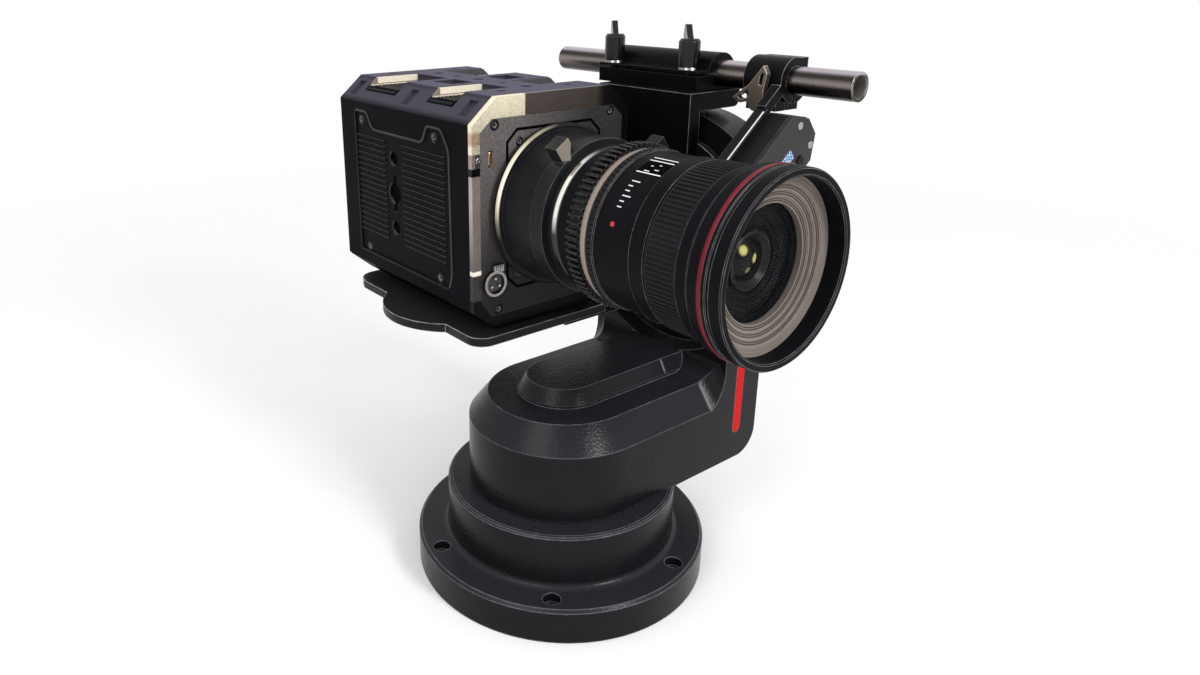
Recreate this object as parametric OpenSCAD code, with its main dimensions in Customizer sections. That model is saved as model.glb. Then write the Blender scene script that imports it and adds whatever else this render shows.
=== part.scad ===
// Motorised pan tilt head carrying a box camera, a zoom lens and a rod mounted lens drive.
// The origin is the centre of the base underside. Z is up, the lens looks along -Y, the tower is on +X.

/* [Base] */
// Flange radius
base_r = 85; // [83:0.5:95]
// Flange thickness
flange_h = 19.9; // [16:0.1:22]
// Distance from the flange edge in to the neck
neck_in = 18.2; // [18:0.1:20]
// Height of the neck top
neck_top = 51; // [50:0.5:51.4]
// Distance from the flange edge in to the bolt circle
bolt_in = 9.3; // [8:0.1:9.3]
// Number of bolt holes
bolt_n = 6; // [3:1:8]
// Angle of the first bolt hole
bolt_phase = 46; // [0:1:60]
// Bolt hole radius
bolt_hole_r = 2.75; // [2:0.05:3.3]
// Counterbore radius
bolt_head_r = 4.8; // [4:0.1:4.8]

/* [Arm and tower] */
// Radius of the turret and half the width of the arm
arm_r = 53.9; // [53:0.1:55]
// Underside of the arm
arm_z = 51.8; // [51.6:0.1:52.5]
// Lower edge of the top chamfer
chamfer_z = 91; // [89:0.5:93]
// Flat top of the arm
deck_z = 105; // [103:0.5:106]
// Half width of the flat top
deck_r = 43; // [42:0.5:44]
// Half width of the hump foot
hump_r = 25.5; // [23:0.5:27]
// Half width of the hump top
hump_top_r = 20.5; // [16:0.5:22]
// Height of the hump top
hump_z = 114.5; // [110:0.5:115]
// Inner face of the tower
tower_in = 79; // [78.8:0.1:80]
// Outer face of the tower
tower_out = 111; // [110.8:0.1:113]
// Floor of the round recess in the tower
recess_x = 87.5; // [87.3:0.1:87.8]
// Lip radius of the recess
recess_r = 73.7; // [72.5:0.1:74]
// Floor radius of the recess
recess_floor_r = 70; // [69:0.1:70.5]
// Radius of the tower head about the tilt axis
head_r = 72; // [70:0.5:72]
// Concave fillet between the deck and the tower
root_fillet = 15; // [10:0.5:16]
// Width of the light bar
light_w = 6.5; // [4:0.1:7]

/* [Tilt and cradle] */
// Height of the tilt axis
tilt_z = 186; // [185:0.5:187]
// Radius of the tilt hub disc
hub_r = 60; // [50:0.5:64]
// Radius of the tilt shaft
shaft_r = 12; // [10:0.05:12]
// Underside of the camera plate
plate_z = 143.5; // [143:0.1:144]
// Thickness of the camera plate
plate_t = 5; // [4.5:0.1:5]
// Inner face of the upright
upright_in = 70; // [69.5:0.1:71]

/* [Rod] */
// Rod axis across the head
rod_x = 100; // [99:0.1:100.5]
// Height of the rod axis above the foot of its block
rod_rise = 9; // [8.8:0.1:9.5]
// Rod radius
rod_r = 7.5; // [7:0.05:7.5]
// Bore radius of the rod
rod_bore_r = 6; // [4:0.1:6.5]
// Front end of the rod
rod_front = -103; // [-120:1:-95]
// Rear end of the rod
rod_rear = 114; // [90:1:130]

/* [Camera] */
// Half width of the camera body
cam_w = 54.7; // [54.5:0.1:56]
// Front face of the camera
cam_front = 9.7; // [9.5:0.1:10]
// Rear face of the camera
cam_rear = 149.5; // [148:0.5:152]
// Top of the camera
cam_top = 274.5; // [274:0.5:275]
// Underside of the camera
cam_bot = 150; // [150:0.1:150.5]

/* [Lens] */
// Height of the lens axis
lens_z = 214; // [213.5:0.1:214.5]
// Module of the drive gears
gear_m = 1.1; // [1.1:0.01:1.12]
// Teeth on the lens gear ring
ring_teeth = 74; // [74:1:74]
// Teeth on the drive pinion
pinion_teeth = 26; // [24:1:26]
// Angle from the lens axis to the pinion
pinion_angle = 7.84; // [6:0.01:9]
// Angle between the lens drive and the line from its pinion to the rod
drive_lean = 12.1; // [11.5:0.1:12.5]

/* [Clearances] */
// Gap between pieces that fit together
fit = 0.05; // [0.02:0.01:0.1]
// Gap between pieces that turn against each other
run = 0.3; // [0.3:0.05:0.5]

/* [Hidden] */
$fn = 96;
neck_r = base_r - neck_in;
bolt_pcr = base_r - bolt_in;
base_cover_r = neck_r - 6.8;
base_screw_r = base_cover_r - 2.5;
base_cavity_r = neck_r - 12.8;
wall = 4;
tower_wall = 6;
cavity_out = tower_out - tower_wall;
cavity_in = recess_x + wall;
floor_z = arm_z + wall;
plate_top = plate_z + plate_t;
upright_out = tower_in - 0.4;
beam_z = tilt_z + head_r + 2;
block_z = beam_z + 10;
rod_z = block_z + rod_rise;
block_top = rod_z + 2;
board_x = 20.9 - arm_r;
mesh_gap = 0.3;
front_round = 9;
rear_round = 6;
// Cylinders that round the corners sit this far out, so that they cross the flat sides
round_out = 0.1;
round_z = deck_z + root_fillet;
slope = atan((deck_z - chamfer_z) / (arm_r - deck_r));
ring_pitch_r = gear_m * ring_teeth / 2;
pinion_pitch_r = gear_m * pinion_teeth / 2;
pinion_dist = ring_pitch_r + pinion_pitch_r + mesh_gap;
pinion_x = pinion_dist * cos(pinion_angle);
pinion_z = lens_z + pinion_dist * sin(pinion_angle);
rod_reach = sqrt(pow(rod_x - pinion_x, 2) + pow(rod_z - pinion_z, 2));
drive_turn = atan2(rod_z - pinion_z, rod_x - pinion_x) - drive_lean;
rod_lx = rod_reach * cos(drive_lean);
drive_end = rod_lx - 14.5;
panel_screws = [[drive_end - 8, 7], [drive_end - 7, -8]];
button_x = [drive_end - 27, drive_end - 18];
ring_bore = 36.3;
sun_teeth = 40;
planet_teeth = 16;
planet_x = (sun_teeth + planet_teeth) / 2 + 0.3;
motor_z = 90;
small_pulley_r = 9;
big_pulley_r = 24;
belt_gap = 0.35;
belt_t = 1.8;
drive_front = -80;
drive_rear = -59.2;
drive_half = 16;
clamp_front = -66;
clamp_rear = -42;
screw_x = rod_x - 13.8;
screw_y = [-5.1, 54.2];
block_y0 = -18;
block_y1 = 60.5;
lever_y = (clamp_front + clamp_rear) / 2;
lever_z = rod_z - 11;
side_screws = [[123.5, 251], [44.5, 251], [120.5, 172.5], [41.5, 173]];
// Corner cuts of the camera body, across and up
cut_top = [15.3, 13];
cut_bot = [13.7, 11.5];
front_screws = [[14.5 - cam_w, cam_top - 14.2], [cam_w - 14.5, cam_top - 14.2],
    [16.4 - cam_w, cam_bot + 10.5], [cam_w - 16.4, cam_bot + 10.5]];
inner_screws = [[-24, lens_z + 36.2], [24, lens_z + 36.2], [-24, lens_z - 36.2], [24, lens_z - 36.2]];
conn = [13 - cam_w, cam_bot + 26.3];
vent_y = [[36, 62], [94, 130]];
vent_z = cam_top - 9;
hub_screws = [[28, 28], [-14, 36], [28, -28], [-14, -36]];
foot_screws = [[22, 14], [22, 42], [60, 30], [60, 44]];
foot_z = plate_z - 4;
cover_screws = [[38, 100], [-38, 100], [38, 150], [-38, 150], [26, 216], [-26, 216]];
under_screws = [[70, 35.5], [70, -35.5], [90, 35.5], [90, -35.5]];

module box(x0, x1, y0, y1, z0, z1) {
    translate([x0, y0, z0])
        cube([x1 - x0, y1 - y0, z1 - z0]);
}

module xcyl(x0, x1, r, y = 0, z = 0, r2 = -1) {
    translate([x0, y, z])
        rotate([0, 90, 0])
            cylinder(h = x1 - x0, r1 = r, r2 = r2 < 0 ? r : r2);
}

module ycyl(y0, y1, r, x = 0, z = 0, r2 = -1) {
    translate([x, y0, z])
        rotate([-90, 0, 0])
            cylinder(h = y1 - y0, r1 = r, r2 = r2 < 0 ? r : r2);
}

module zcyl(z0, z1, r, x = 0, y = 0, r2 = -1) {
    translate([x, y, z0])
        cylinder(h = z1 - z0, r1 = r, r2 = r2 < 0 ? r : r2);
}

// Outline in Y and Z carried along X
module xext(x0, x1) {
    translate([x0, 0, 0])
        rotate([90, 0, 90])
            linear_extrude(x1 - x0)
                children();
}

// Outline in X and Z carried along Y
module yext(y0, y1) {
    translate([0, y1, 0])
        rotate([90, 0, 0])
            linear_extrude(y1 - y0)
                children();
}

// Turned piece on the lens axis, points are radius and distance forward
module lens_turn(pts) {
    translate([0, 0, lens_z])
        rotate([90, 0, 0])
            rotate_extrude()
                polygon(pts);
}

// Frame of the lens drive, X along its body, Z out of its rail side, at the pinion axis
module drive_frame() {
    translate([pinion_x, 0, pinion_z])
        rotate([0, -drive_turn, 0])
            children();
}

function gear_points(n, m, add, ded, phase) =
    [for (i = [0 : n - 1])
        for (k = [0 : 3])
            let (r = m * n / 2 + (k == 0 || k == 3 ? -ded : add),
                 h = (k == 0 || k == 3 ? 0.33 : 0.13) * 360 / n,
                 a = phase + i * 360 / n + (k < 2 ? -h : h))
            [r * cos(a), r * sin(a)]];

module obround(r, x1) {
    circle(r);
    translate([0, -r])
        square([x1, 2 * r]);
}

module cam_outline(d) {
    a = cam_w - cut_top[0] - d * 0.4;
    b = cam_w - cut_bot[0] - d * 0.4;
    polygon([[-a, cam_top - d], [a, cam_top - d], [cam_w - d, cam_top - cut_top[1] - d * 0.4],
        [cam_w - d, cam_bot + cut_bot[1] + d * 0.4], [b, cam_bot + d], [-b, cam_bot + d],
        [-cam_w + d, cam_bot + cut_bot[1] + d * 0.4], [-cam_w + d, cam_top - cut_top[1] - d * 0.4]]);
}

module plate_outline() {
    w = cam_w - 5.2;
    polygon([[w - 7, cam_bot + 7], [w, cam_bot + 16], [w, cam_top - 17.5], [w - 7.5, cam_top - 11],
        [7.5 - w, cam_top - 11], [-w, cam_top - 17.5], [-w, cam_bot + 16], [7 - w, cam_bot + 7]]);
}

module side_outline(d) {
    polygon([[131 - d, 256.5 - d], [116.8 + d * 0.4, 256.5 - d], [110 + d, 246.9 - d], [56.2 - d, 246.9 - d],
        [51.3 - d * 0.4, 256.5 - d], [37.5, 256.5 - d], [30 + d, 246 - d * 0.4], [29 + d, 177],
        [32 + d, 168.5 + d], [131 - d, 168.5 + d]]);
}

module base_casting() {
    color("#26262a")
    difference() {
        rotate_extrude()
            difference() {
                union() {
                    polygon([[0, 0], [base_r, 0], [base_r, flange_h - 1.6], [base_r - 1.6, flange_h],
                        [0, flange_h]]);
                    polygon([[0, 0], [neck_r, 0], [neck_r, neck_top - 1], [neck_r - 1, neck_top],
                        [0, neck_top]]);
                    difference() {
                        translate([neck_r - 1, flange_h - 1])
                            square(5);
                        translate([neck_r + 4, flange_h + 4])
                            circle(4);
                    }
                }
                translate([-1, -1])
                    square([base_cover_r + 1 + fit, 5]);
                translate([-1, 3])
                    square([base_cavity_r + 1, 40]);
                translate([-1, 42])
                    square([44, 10]);
                translate([-1, 44.5])
                    square([47 + fit, 10]);
            }
        for (i = [0 : bolt_n - 1])
            rotate(bolt_phase + i * 360 / bolt_n) {
                zcyl(-1, flange_h + 1, bolt_hole_r, bolt_pcr);
                zcyl(flange_h - 5.5, flange_h + 1, bolt_head_r, bolt_pcr);
            }
        for (a = [0 : 90 : 270])
            rotate(a + 20)
                zcyl(3, 14, 1.5 + fit, base_screw_r);
    }
}

module base_bottom_cover() {
    color("#1c1c1e")
    difference() {
        zcyl(0.6, 4, base_cover_r);
        for (a = [0 : 90 : 270])
            rotate(a + 20) {
                zcyl(0, 5, 1.6, base_screw_r);
                zcyl(0, 2.2, 2.4, base_screw_r);
            }
    }
}

module base_cover_screws() {
    color("#8c8c90")
    for (a = [0 : 90 : 270])
        rotate(a + 20) {
            zcyl(0.7, 2.2, 2.2, base_screw_r);
            zcyl(2.1, 12, 1.5, base_screw_r);
        }
}

module pan_sun_gear() {
    color("#9a9388")
    difference() {
        union() {
            zcyl(4, 8, 22);
            zcyl(7, 42.4, 10);
            translate([0, 0, 33])
                linear_extrude(8)
                    polygon(gear_points(sun_teeth, 1, 0.75, 1.1, 180 / sun_teeth));
        }
        zcyl(3, 50, 6);
    }
}

module pan_bearing_outer() {
    color("#b4b6ba")
    difference() {
        zcyl(44.5, 50.8, 46);
        zcyl(44, 51, 40.1);
    }
}

module pan_bearing_inner() {
    color("#b4b6ba")
    difference() {
        zcyl(44.5, 50.8, 39.7);
        zcyl(44, 51, 32.9 + fit);
    }
}

module pan_spigot() {
    color("#55565a")
    difference() {
        union() {
            zcyl(44.3, arm_z, 32.9);
            zcyl(43.2, 44.5, 36);
        }
        zcyl(40, 60, 8);
        zcyl(40, 60, 3, planet_x);
    }
}

module pan_motor() {
    color("#3a3b40")
    difference() {
        union() {
            zcyl(floor_z, 86, 19.5, planet_x);
            zcyl(85, 87, 12, planet_x);
        }
        zcyl(floor_z - 1, 72, 2.5 + run, planet_x);
    }
}

module pan_pinion() {
    color("#9a9388")
    translate([planet_x, 0, 0]) {
        translate([0, 0, 33.5])
            linear_extrude(7)
                polygon(gear_points(planet_teeth, 1, 0.75, 1.1, 0));
        zcyl(40, 70, 2.5);
    }
}

module head_outline(r, w, z0) {
    translate([-w, z0])
        square([2 * w, tilt_z - z0]);
    intersection() {
        translate([0, tilt_z])
            circle(r);
        translate([-w, tilt_z - 1])
            square([2 * w, r + 2]);
    }
}

module arm_shell() {
    color("#232327")
    difference() {
        union() {
            translate([0, 0, arm_z])
                linear_extrude(chamfer_z - arm_z)
                    obround(arm_r, tower_in + 5);
            zcyl(chamfer_z, deck_z, arm_r, 0, 0, deck_r);
            xext(0, tower_in + 5)
                polygon([[-arm_r, chamfer_z], [arm_r, chamfer_z], [deck_r, deck_z], [-deck_r, deck_z]]);
            zcyl(deck_z, deck_z + 1.5, hump_r);
            zcyl(deck_z + 1.5, hump_z, hump_r, 0, 0, hump_top_r);
            xext(0, tower_in + 2)
                polygon([[-hump_r, deck_z - 1], [hump_r, deck_z - 1], [hump_r, deck_z + 1.5],
                    [hump_top_r, hump_z], [-hump_top_r, hump_z], [-hump_r, deck_z + 1.5]]);
            xext(tower_in, tower_out)
                head_outline(head_r, arm_r, arm_z);
            intersection() {
                box(tower_in - root_fillet, tower_in + 2, -arm_r, arm_r, arm_z + 10, 200);
                translate([0, 0, deck_z])
                    under_fillet();
                translate([0, -deck_r, deck_z])
                    rotate([slope, 0, 0])
                        translate([0, 0, -0.3])
                            under_fillet();
                translate([0, deck_r, deck_z])
                    rotate([-slope, 0, 0])
                        translate([0, 0, -0.3])
                            under_fillet();
            }
        }
        xcyl(tower_in, recess_x, recess_r, 0, tilt_z, recess_floor_r);
        xcyl(tower_in - 1, tower_in, recess_r, 0, tilt_z);
        box(tower_in - 1, recess_x, -60, 60, tilt_z, 300);
        difference() {
            box(tower_in - 1, tower_in + front_round, -arm_r - 1, -arm_r + front_round, round_z, 300);
            zcyl(100, 330, front_round, tower_in + front_round - round_out, -arm_r + front_round - round_out);
        }
        difference() {
            box(tower_in - 1, tower_in + rear_round, arm_r - rear_round, arm_r + 1, round_z, 300);
            zcyl(100, 330, rear_round, tower_in + rear_round - round_out, arm_r - rear_round + round_out);
        }
        difference() {
            box(tower_out - 16, tower_out + 1, -60, 60, arm_z - 1, arm_z + 16);
            ycyl(-61, 61, 16, tower_out - 16 + round_out, arm_z + 16 - round_out);
        }
        translate([0, 0, floor_z])
            linear_extrude(chamfer_z - 3 - floor_z)
                obround(arm_r - wall, cavity_out);
        translate([0, 0, chamfer_z - 4])
            linear_extrude(deck_z - chamfer_z)
                obround(deck_r - wall, cavity_in + 1);
        box(83, cavity_in + 1, -33, 33, chamfer_z - 4, 111);
        difference() {
            xext(cavity_in, cavity_out)
                head_outline(head_r - wall, arm_r - wall, floor_z);
            xcyl(cavity_in - 1, cavity_in + wall, 25, 0, tilt_z);
        }
        xcyl(recess_x - 1, cavity_in + wall + 1, 20 + fit, 0, tilt_z);
        xext(tower_out - 3, tower_out + 1)
            cover_outline(44);
        xext(cavity_out - 1, tower_out)
            cover_outline(34);
        for (p = cover_screws)
            xcyl(cavity_out - 1, tower_out, 1.45 + fit, p[0], p[1]);
        zcyl(arm_z - 1, floor_z + 1, 8);
        zcyl(arm_z - 1, floor_z + 1, 3, planet_x);
        box(68, 92, -38, 38, arm_z - 1, arm_z + 2.2);
        box(73, 87, -33, 33, arm_z - 1, floor_z + 1);
        for (p = under_screws)
            zcyl(arm_z, floor_z + 1, 1.2 + fit, p[0], p[1]);
        light_pill(light_w / 2, -arm_r - 1, -arm_r + 2);
    }
    color("#232327")
    for (x = [board_x + 5, board_x + 33], y = [-24, 24])
        zcyl(floor_z - 0.5, floor_z + 6, 3, x, y);
}

// Everything under a concave sweep that rises from a face of the arm to the tower
module under_fillet() {
    difference() {
        box(tower_in - root_fillet + 0.4, tower_in + 2, -120, 120, -130, root_fillet - 3);
        ycyl(-121, 121, root_fillet, tower_in - root_fillet + 0.4, root_fillet - 0.4);
    }
}

module cover_outline(r) {
    translate([-r, tilt_z - 70 - r])
        square([2 * r, 70 + r]);
    translate([0, tilt_z])
        circle(r);
}

module light_pill(r, y0, y1) {
    ycyl(y0, y1, r, 93, 72.3);
    ycyl(y0, y1, r, 93, 111);
    box(93 - r, 93 + r, y0, y1, 72.3, 111);
}

module arm_under_cover() {
    color("#1c1c1e")
    difference() {
        box(68.1, 91.9, -37.9, 37.9, arm_z, arm_z + 2.1);
        for (p = under_screws) {
            zcyl(arm_z - 1, arm_z + 3, 1.3, p[0], p[1]);
            zcyl(arm_z - 1, arm_z + 1.1, 2.1, p[0], p[1]);
        }
    }
}

module tower_cover() {
    color("#202024")
    difference() {
        xext(tower_out - 3, tower_out)
            cover_outline(43.8);
        for (p = cover_screws) {
            xcyl(tower_out - 4, tower_out + 1, 1.6, p[0], p[1]);
            xcyl(tower_out - 1.8, tower_out + 1, 2.8, p[0], p[1]);
        }
    }
}

module pan_cover_screws() {
    color("#8c8c90")
    union() {
        for (p = under_screws) {
            zcyl(arm_z + 0.1, arm_z + 1.1, 2, p[0], p[1]);
            zcyl(arm_z + 1, floor_z, 1.2, p[0], p[1]);
        }
        for (p = cover_screws) {
            xcyl(tower_out - 1.8, tower_out - 0.1, 2.6, p[0], p[1]);
            xcyl(cavity_out, tower_out - 1.7, 1.45, p[0], p[1]);
        }
    }
}

module light_bar() {
    color("#ff2030")
    light_pill(light_w / 2 - 0.1, -arm_r, -arm_r + 2);
}

module control_board() {
    color("#1d5a34")
    union() {
        box(board_x, board_x + 38, -29, 29, floor_z + 6, floor_z + 7.6);
        box(board_x + 5, board_x + 19, -7, 7, floor_z + 7.5, floor_z + 10);
        box(board_x + 21, board_x + 29, -26, -10, floor_z + 7.5, floor_z + 13);
        box(board_x + 21, board_x + 29, 10, 26, floor_z + 7.5, floor_z + 13);
    }
}

module tilt_motor() {
    color("#3a3b40")
    difference() {
        xcyl(83, 95, 19.5, 0, motor_z);
        xcyl(86, 96, 2.5 + run, 0, motor_z);
    }
}

module tilt_motor_pulley() {
    color("#b4b6ba")
    union() {
        xcyl(97, 103, small_pulley_r, 0, motor_z);
        xcyl(88, 98, 2.5, 0, motor_z);
    }
}

// Outline of a band round two pulleys, with the small one below the large one
module band(g) {
    ra = small_pulley_r + g;
    rb = big_pulley_r + g;
    s = (rb - ra) / (tilt_z - motor_z);
    c = sqrt(1 - s * s);
    translate([0, motor_z])
        circle(ra);
    translate([0, tilt_z])
        circle(rb);
    polygon([[ra * c, motor_z - ra * s], [rb * c, tilt_z - rb * s], [-rb * c, tilt_z - rb * s],
        [-ra * c, motor_z - ra * s]]);
}

module tilt_belt() {
    color("#141416")
    xext(97.5, 102.5)
        difference() {
            band(belt_gap + belt_t);
            band(belt_gap);
        }
}

module tilt_bearing() {
    color("#b4b6ba")
    difference() {
        xcyl(recess_x + 0.2, cavity_in + wall - 0.1, 20, 0, tilt_z);
        xcyl(recess_x - 1, cavity_in + wall + 1, shaft_r + 0.08, 0, tilt_z);
    }
}

module tilt_shaft() {
    color("#b4b6ba")
    difference() {
        union() {
            xcyl(tower_in, 104, shaft_r, 0, tilt_z);
            xcyl(97, 103, big_pulley_r, 0, tilt_z);
        }
        xcyl(tower_in - 1, 105, shaft_r - 4, 0, tilt_z);
    }
}

module tilt_hub() {
    color("#1b1b1e")
    difference() {
        union() {
            xcyl(upright_out, 83, hub_r, 0, tilt_z);
            xcyl(83, recess_x - 0.5, hub_r, 0, tilt_z, hub_r - 3);
        }
        xcyl(upright_out - 1, recess_x, shaft_r + fit, 0, tilt_z);
        for (p = hub_screws)
            xcyl(upright_out - 1, 86, 2 + fit, p[0], tilt_z + p[1]);
    }
}

module cradle_upright() {
    color("#17171a")
    difference() {
        union() {
            xext(upright_in, upright_out)
                polygon([[-22, 176], [-18, plate_z + 14], [6, foot_z], [47, foot_z], [50, foot_z + 3],
                    [50, block_z], [-22, block_z]]);
            box(9, upright_in + 1, 8, 47, foot_z, plate_z);
            box(upright_in, 112, -22, 50, beam_z, block_z);
        }
        difference() {
            box(108, 113, -23, 51, beam_z - 1, beam_z + 4);
            ycyl(-24, 52, 4, 108, beam_z + 4);
        }
        for (p = hub_screws) {
            xcyl(upright_in - 1, upright_out + 1, 2.1, p[0], tilt_z + p[1]);
            xcyl(upright_in - 1, upright_in + 3.2, 4.2, p[0], tilt_z + p[1]);
        }
        for (p = foot_screws) {
            zcyl(foot_z - 1, plate_z + 1, 2.1, p[0], p[1]);
            zcyl(foot_z - 1, foot_z + 2.2, 3.6, p[0], p[1]);
        }
    }
}

module cradle_screws() {
    color("#2c2c2f")
    union() {
        for (p = hub_screws) {
            xcyl(upright_in + 0.2, upright_in + 3.2, 4, p[0], tilt_z + p[1]);
            xcyl(upright_in + 3.1, 85, 2, p[0], tilt_z + p[1]);
        }
        for (p = foot_screws) {
            zcyl(foot_z + 0.1, foot_z + 2.2, 3.4, p[0], p[1]);
            zcyl(foot_z + 2.1, plate_top - 0.8, 2, p[0], p[1]);
        }
    }
}

module cradle_plate() {
    color("#1b1b1e")
    difference() {
        translate([0, 0, plate_z])
            linear_extrude(plate_t)
                difference() {
                    union() {
                        translate([-57, 13])
                            square([106, 114]);
                        translate([-47, 3])
                            square([82, 30]);
                        translate([-47, 13])
                            circle(10);
                        translate([34, 9])
                            circle(6);
                        translate([40, 24])
                            square([upright_in - 40, 26]);
                        translate([-30.4, 66])
                            circle(41.6);
                        translate([-44, 127])
                            circle(12);
                        translate([37, 127])
                            circle(12);
                        translate([-44, 120])
                            square([81, 19]);
                    }
                    translate([49, 62])
                        circle(12);
                    translate([46, 5])
                        circle(6);
                }
        for (p = foot_screws)
            zcyl(plate_z - 1, plate_top - 0.7, 2 + fit, p[0], p[1]);
        for (y = [60, 92]) {
            zcyl(plate_z - 1, plate_top + 1, 3.3, 0, y);
            zcyl(plate_z - 1, plate_z + 3.4, 6, 0, y);
        }
    }
}

module camera_bolts() {
    color("#8c8c90")
    for (y = [60, 92]) {
        zcyl(plate_z + 0.2, plate_z + 3.4, 5.7, 0, y);
        zcyl(plate_z + 3.3, cam_bot + 2.8, 3.1, 0, y);
    }
}

module camera_pad() {
    color("#101012")
    difference() {
        box(-34, 34, 18, 134, plate_top, cam_bot);
        for (y = [60, 92])
            zcyl(plate_top - 1, cam_bot + 1, 3.5, 0, y);
    }
}

module rod_block() {
    color("#17171a")
    difference() {
        union() {
            box(screw_x - 6.6, rod_x + 14, block_y0, block_y1, block_z, block_top);
            ycyl(block_y0, block_y1, 11.5, rod_x, rod_z);
        }
        box(60, 130, -30, 80, block_z - 20, block_z);
        ycyl(block_y0 - 1, block_y1 + 1, rod_r + fit, rod_x, rod_z);
        box(screw_x - 7, rod_x, block_y0 - 1, block_y1 + 1, rod_z - 0.7, rod_z + 0.7);
        for (y = screw_y) {
            zcyl(block_z + 1, block_top + 19, 2.5 + run, screw_x, y);
            zcyl(block_top, block_top + 19, 6.4, screw_x, y);
        }
        box(rod_x + 10, rod_x + 15, block_y0 - 1, block_y1 + 1, block_top - 1, block_top + 1);
    }
}

module wing_washers() {
    color("#c9c9cc")
    for (y = screw_y)
        difference() {
            zcyl(block_top, block_top + 1.4, 6, screw_x, y, 5.5);
            zcyl(block_top - 1, block_top + 2, 2.5 + run, screw_x, y);
        }
}

module wing_screw(y) {
    zcyl(block_z + 2, block_top + 2, 2.5, screw_x, y);
    zcyl(block_top + 1.7, block_top + 15.5, 6.1, screw_x, y);
    zcyl(block_top + 15.5, block_top + 17, 6.1, screw_x, y, 5);
    translate([screw_x, y, block_top])
        rotate(53)
            translate([0, 1.7, 0])
                rotate([90, 0, 0])
                    linear_extrude(3.4)
                        polygon([[-2, 10], [8, 11.5], [10, 19], [8, 24.5], [4.5, 24.5], [1, 20], [-2, 17]]);
}

module wing_screw_front() {
    color("#1a1a1d")
    wing_screw(screw_y[0]);
}

module wing_screw_rear() {
    color("#1a1a1d")
    wing_screw(screw_y[1]);
}

module support_rod() {
    color("#8e8a86")
    difference() {
        ycyl(rod_front, rod_rear, rod_r, rod_x, rod_z);
        ycyl(rod_front - 1, rod_front + 20, rod_bore_r, rod_x, rod_z);
        ycyl(rod_rear - 20, rod_rear + 1, rod_bore_r, rod_x, rod_z);
        ycyl(rod_front, rod_rear, rod_bore_r - 1.5, rod_x, rod_z);
    }
}

module rod_clamp() {
    color("#1a1a1d")
    difference() {
        union() {
            ycyl(clamp_front, clamp_rear, 12, rod_x, rod_z);
            box(91, 110, clamp_front + 4, clamp_rear - 1, lever_z - 5, lever_z + 5);
            box(rod_x, rod_x + 10, clamp_front, clamp_rear, rod_z + 5, rod_z + 11.6);
            drive_frame()
                box(drive_end - 11, rod_lx - 5.5, clamp_front, -60.4, drive_half, drive_half + 5.6);
        }
        ycyl(clamp_front - 1, clamp_rear + 1, rod_r + fit, rod_x, rod_z);
        box(rod_x - 0.8, rod_x + 0.8, clamp_front - 1, clamp_rear + 1, rod_z - 40, rod_z);
        xcyl(88, 112, 2.5 + run, lever_y, lever_z);
    }
}

module clamp_lever() {
    color("#8d857c")
    union() {
        xcyl(84, 87.9, 5, lever_y, lever_z);
        xcyl(87.8, 90.6, 3.2, lever_y, lever_z);
        xcyl(90.5, 112, 2.5, lever_y, lever_z);
        xext(84, 87.4)
            translate([lever_y, lever_z])
                difference() {
                    polygon([[-3.2, 19], [-5.8, 15], [-4.3, 6.8], [-4.6, 0], [0, -3], [4, 0.2], [10, -1.4],
                        [15, 1.2], [4.8, 9], [0.2, 14.8]]);
                    polygon([[-3.4, 15.6], [-4, 14], [-2.9, 8.4], [-1, 9.4], [-1.6, 13.6]]);
                    polygon([[5.2, 2], [9.6, 0.6], [11.6, 1.7], [6.2, 5.8], [4.8, 4.6]]);
                }
    }
}

module drive_outline(d) {
    polygon([[-12 + d, -6], [-3, -drive_half + d], [drive_end - 11, -drive_half + d], [drive_end - d, -6],
        [drive_end - d, 5], [drive_end - 10, drive_half - d], [-3, drive_half - d], [-12 + d, 6]]);
}

module drive_housing() {
    color("#1a1a1d")
    difference() {
        drive_frame()
            yext(drive_front + 2, drive_rear)
                drive_outline(0);
        ycyl(drive_rear - 8, drive_rear + 1, 3 + run, pinion_x, pinion_z);
        drive_frame()
            for (x = button_x)
                ycyl(drive_front + 1, drive_front + 6, 2.5 + run, x, -8.5);
        drive_frame()
            for (p = panel_screws)
                ycyl(drive_front + 1, drive_front + 7, 1.2 + fit, p[0], p[1]);
    }
}

module drive_rail() {
    color("#1d1d20")
    drive_frame()
        translate([1, 0, 0])
            rotate([90, 0, 90])
                linear_extrude(drive_end - 12)
                    polygon([[-66, drive_half], [-61, drive_half], [-60, 20], [-67, 20]]);
}

module drive_panel() {
    color("#202024")
    difference() {
        drive_frame()
            yext(drive_front, drive_front + 2)
                drive_outline(0.6);
        drive_frame() {
            for (x = button_x)
                ycyl(drive_front - 1, drive_front + 3, 2.5 + run, x, -8.5);
            for (p = panel_screws) {
                ycyl(drive_front - 1, drive_front + 3, 1.3, p[0], p[1]);
                ycyl(drive_front - 1, drive_front + 0.9, 2.2, p[0], p[1]);
            }
            box(drive_end - 32, drive_end - 20, drive_front - 1, drive_front + 1, -4, 2.5);
        }
    }
}

module drive_screws() {
    color("#b9b9bc")
    drive_frame()
        for (p = panel_screws) {
            ycyl(drive_front - 0.2, drive_front + 0.9, 2, p[0], p[1]);
            ycyl(drive_front + 0.8, drive_front + 6.5, 1.2, p[0], p[1]);
        }
}

module drive_display() {
    color("#5d7fb0")
    drive_frame()
        box(drive_end - 31.9, drive_end - 20.1, drive_front + 0.1, drive_front + 1, -3.9, 2.4);
}

module drive_button(x) {
    drive_frame()
        union() {
            ycyl(drive_front - 0.9, drive_front + 4.5, 2.5, x, -8.5);
        }
}

module drive_button_upper() {
    color("#303034")
    drive_button(button_x[1]);
}

module drive_button_lower() {
    color("#303034")
    drive_button(button_x[0]);
}

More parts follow.
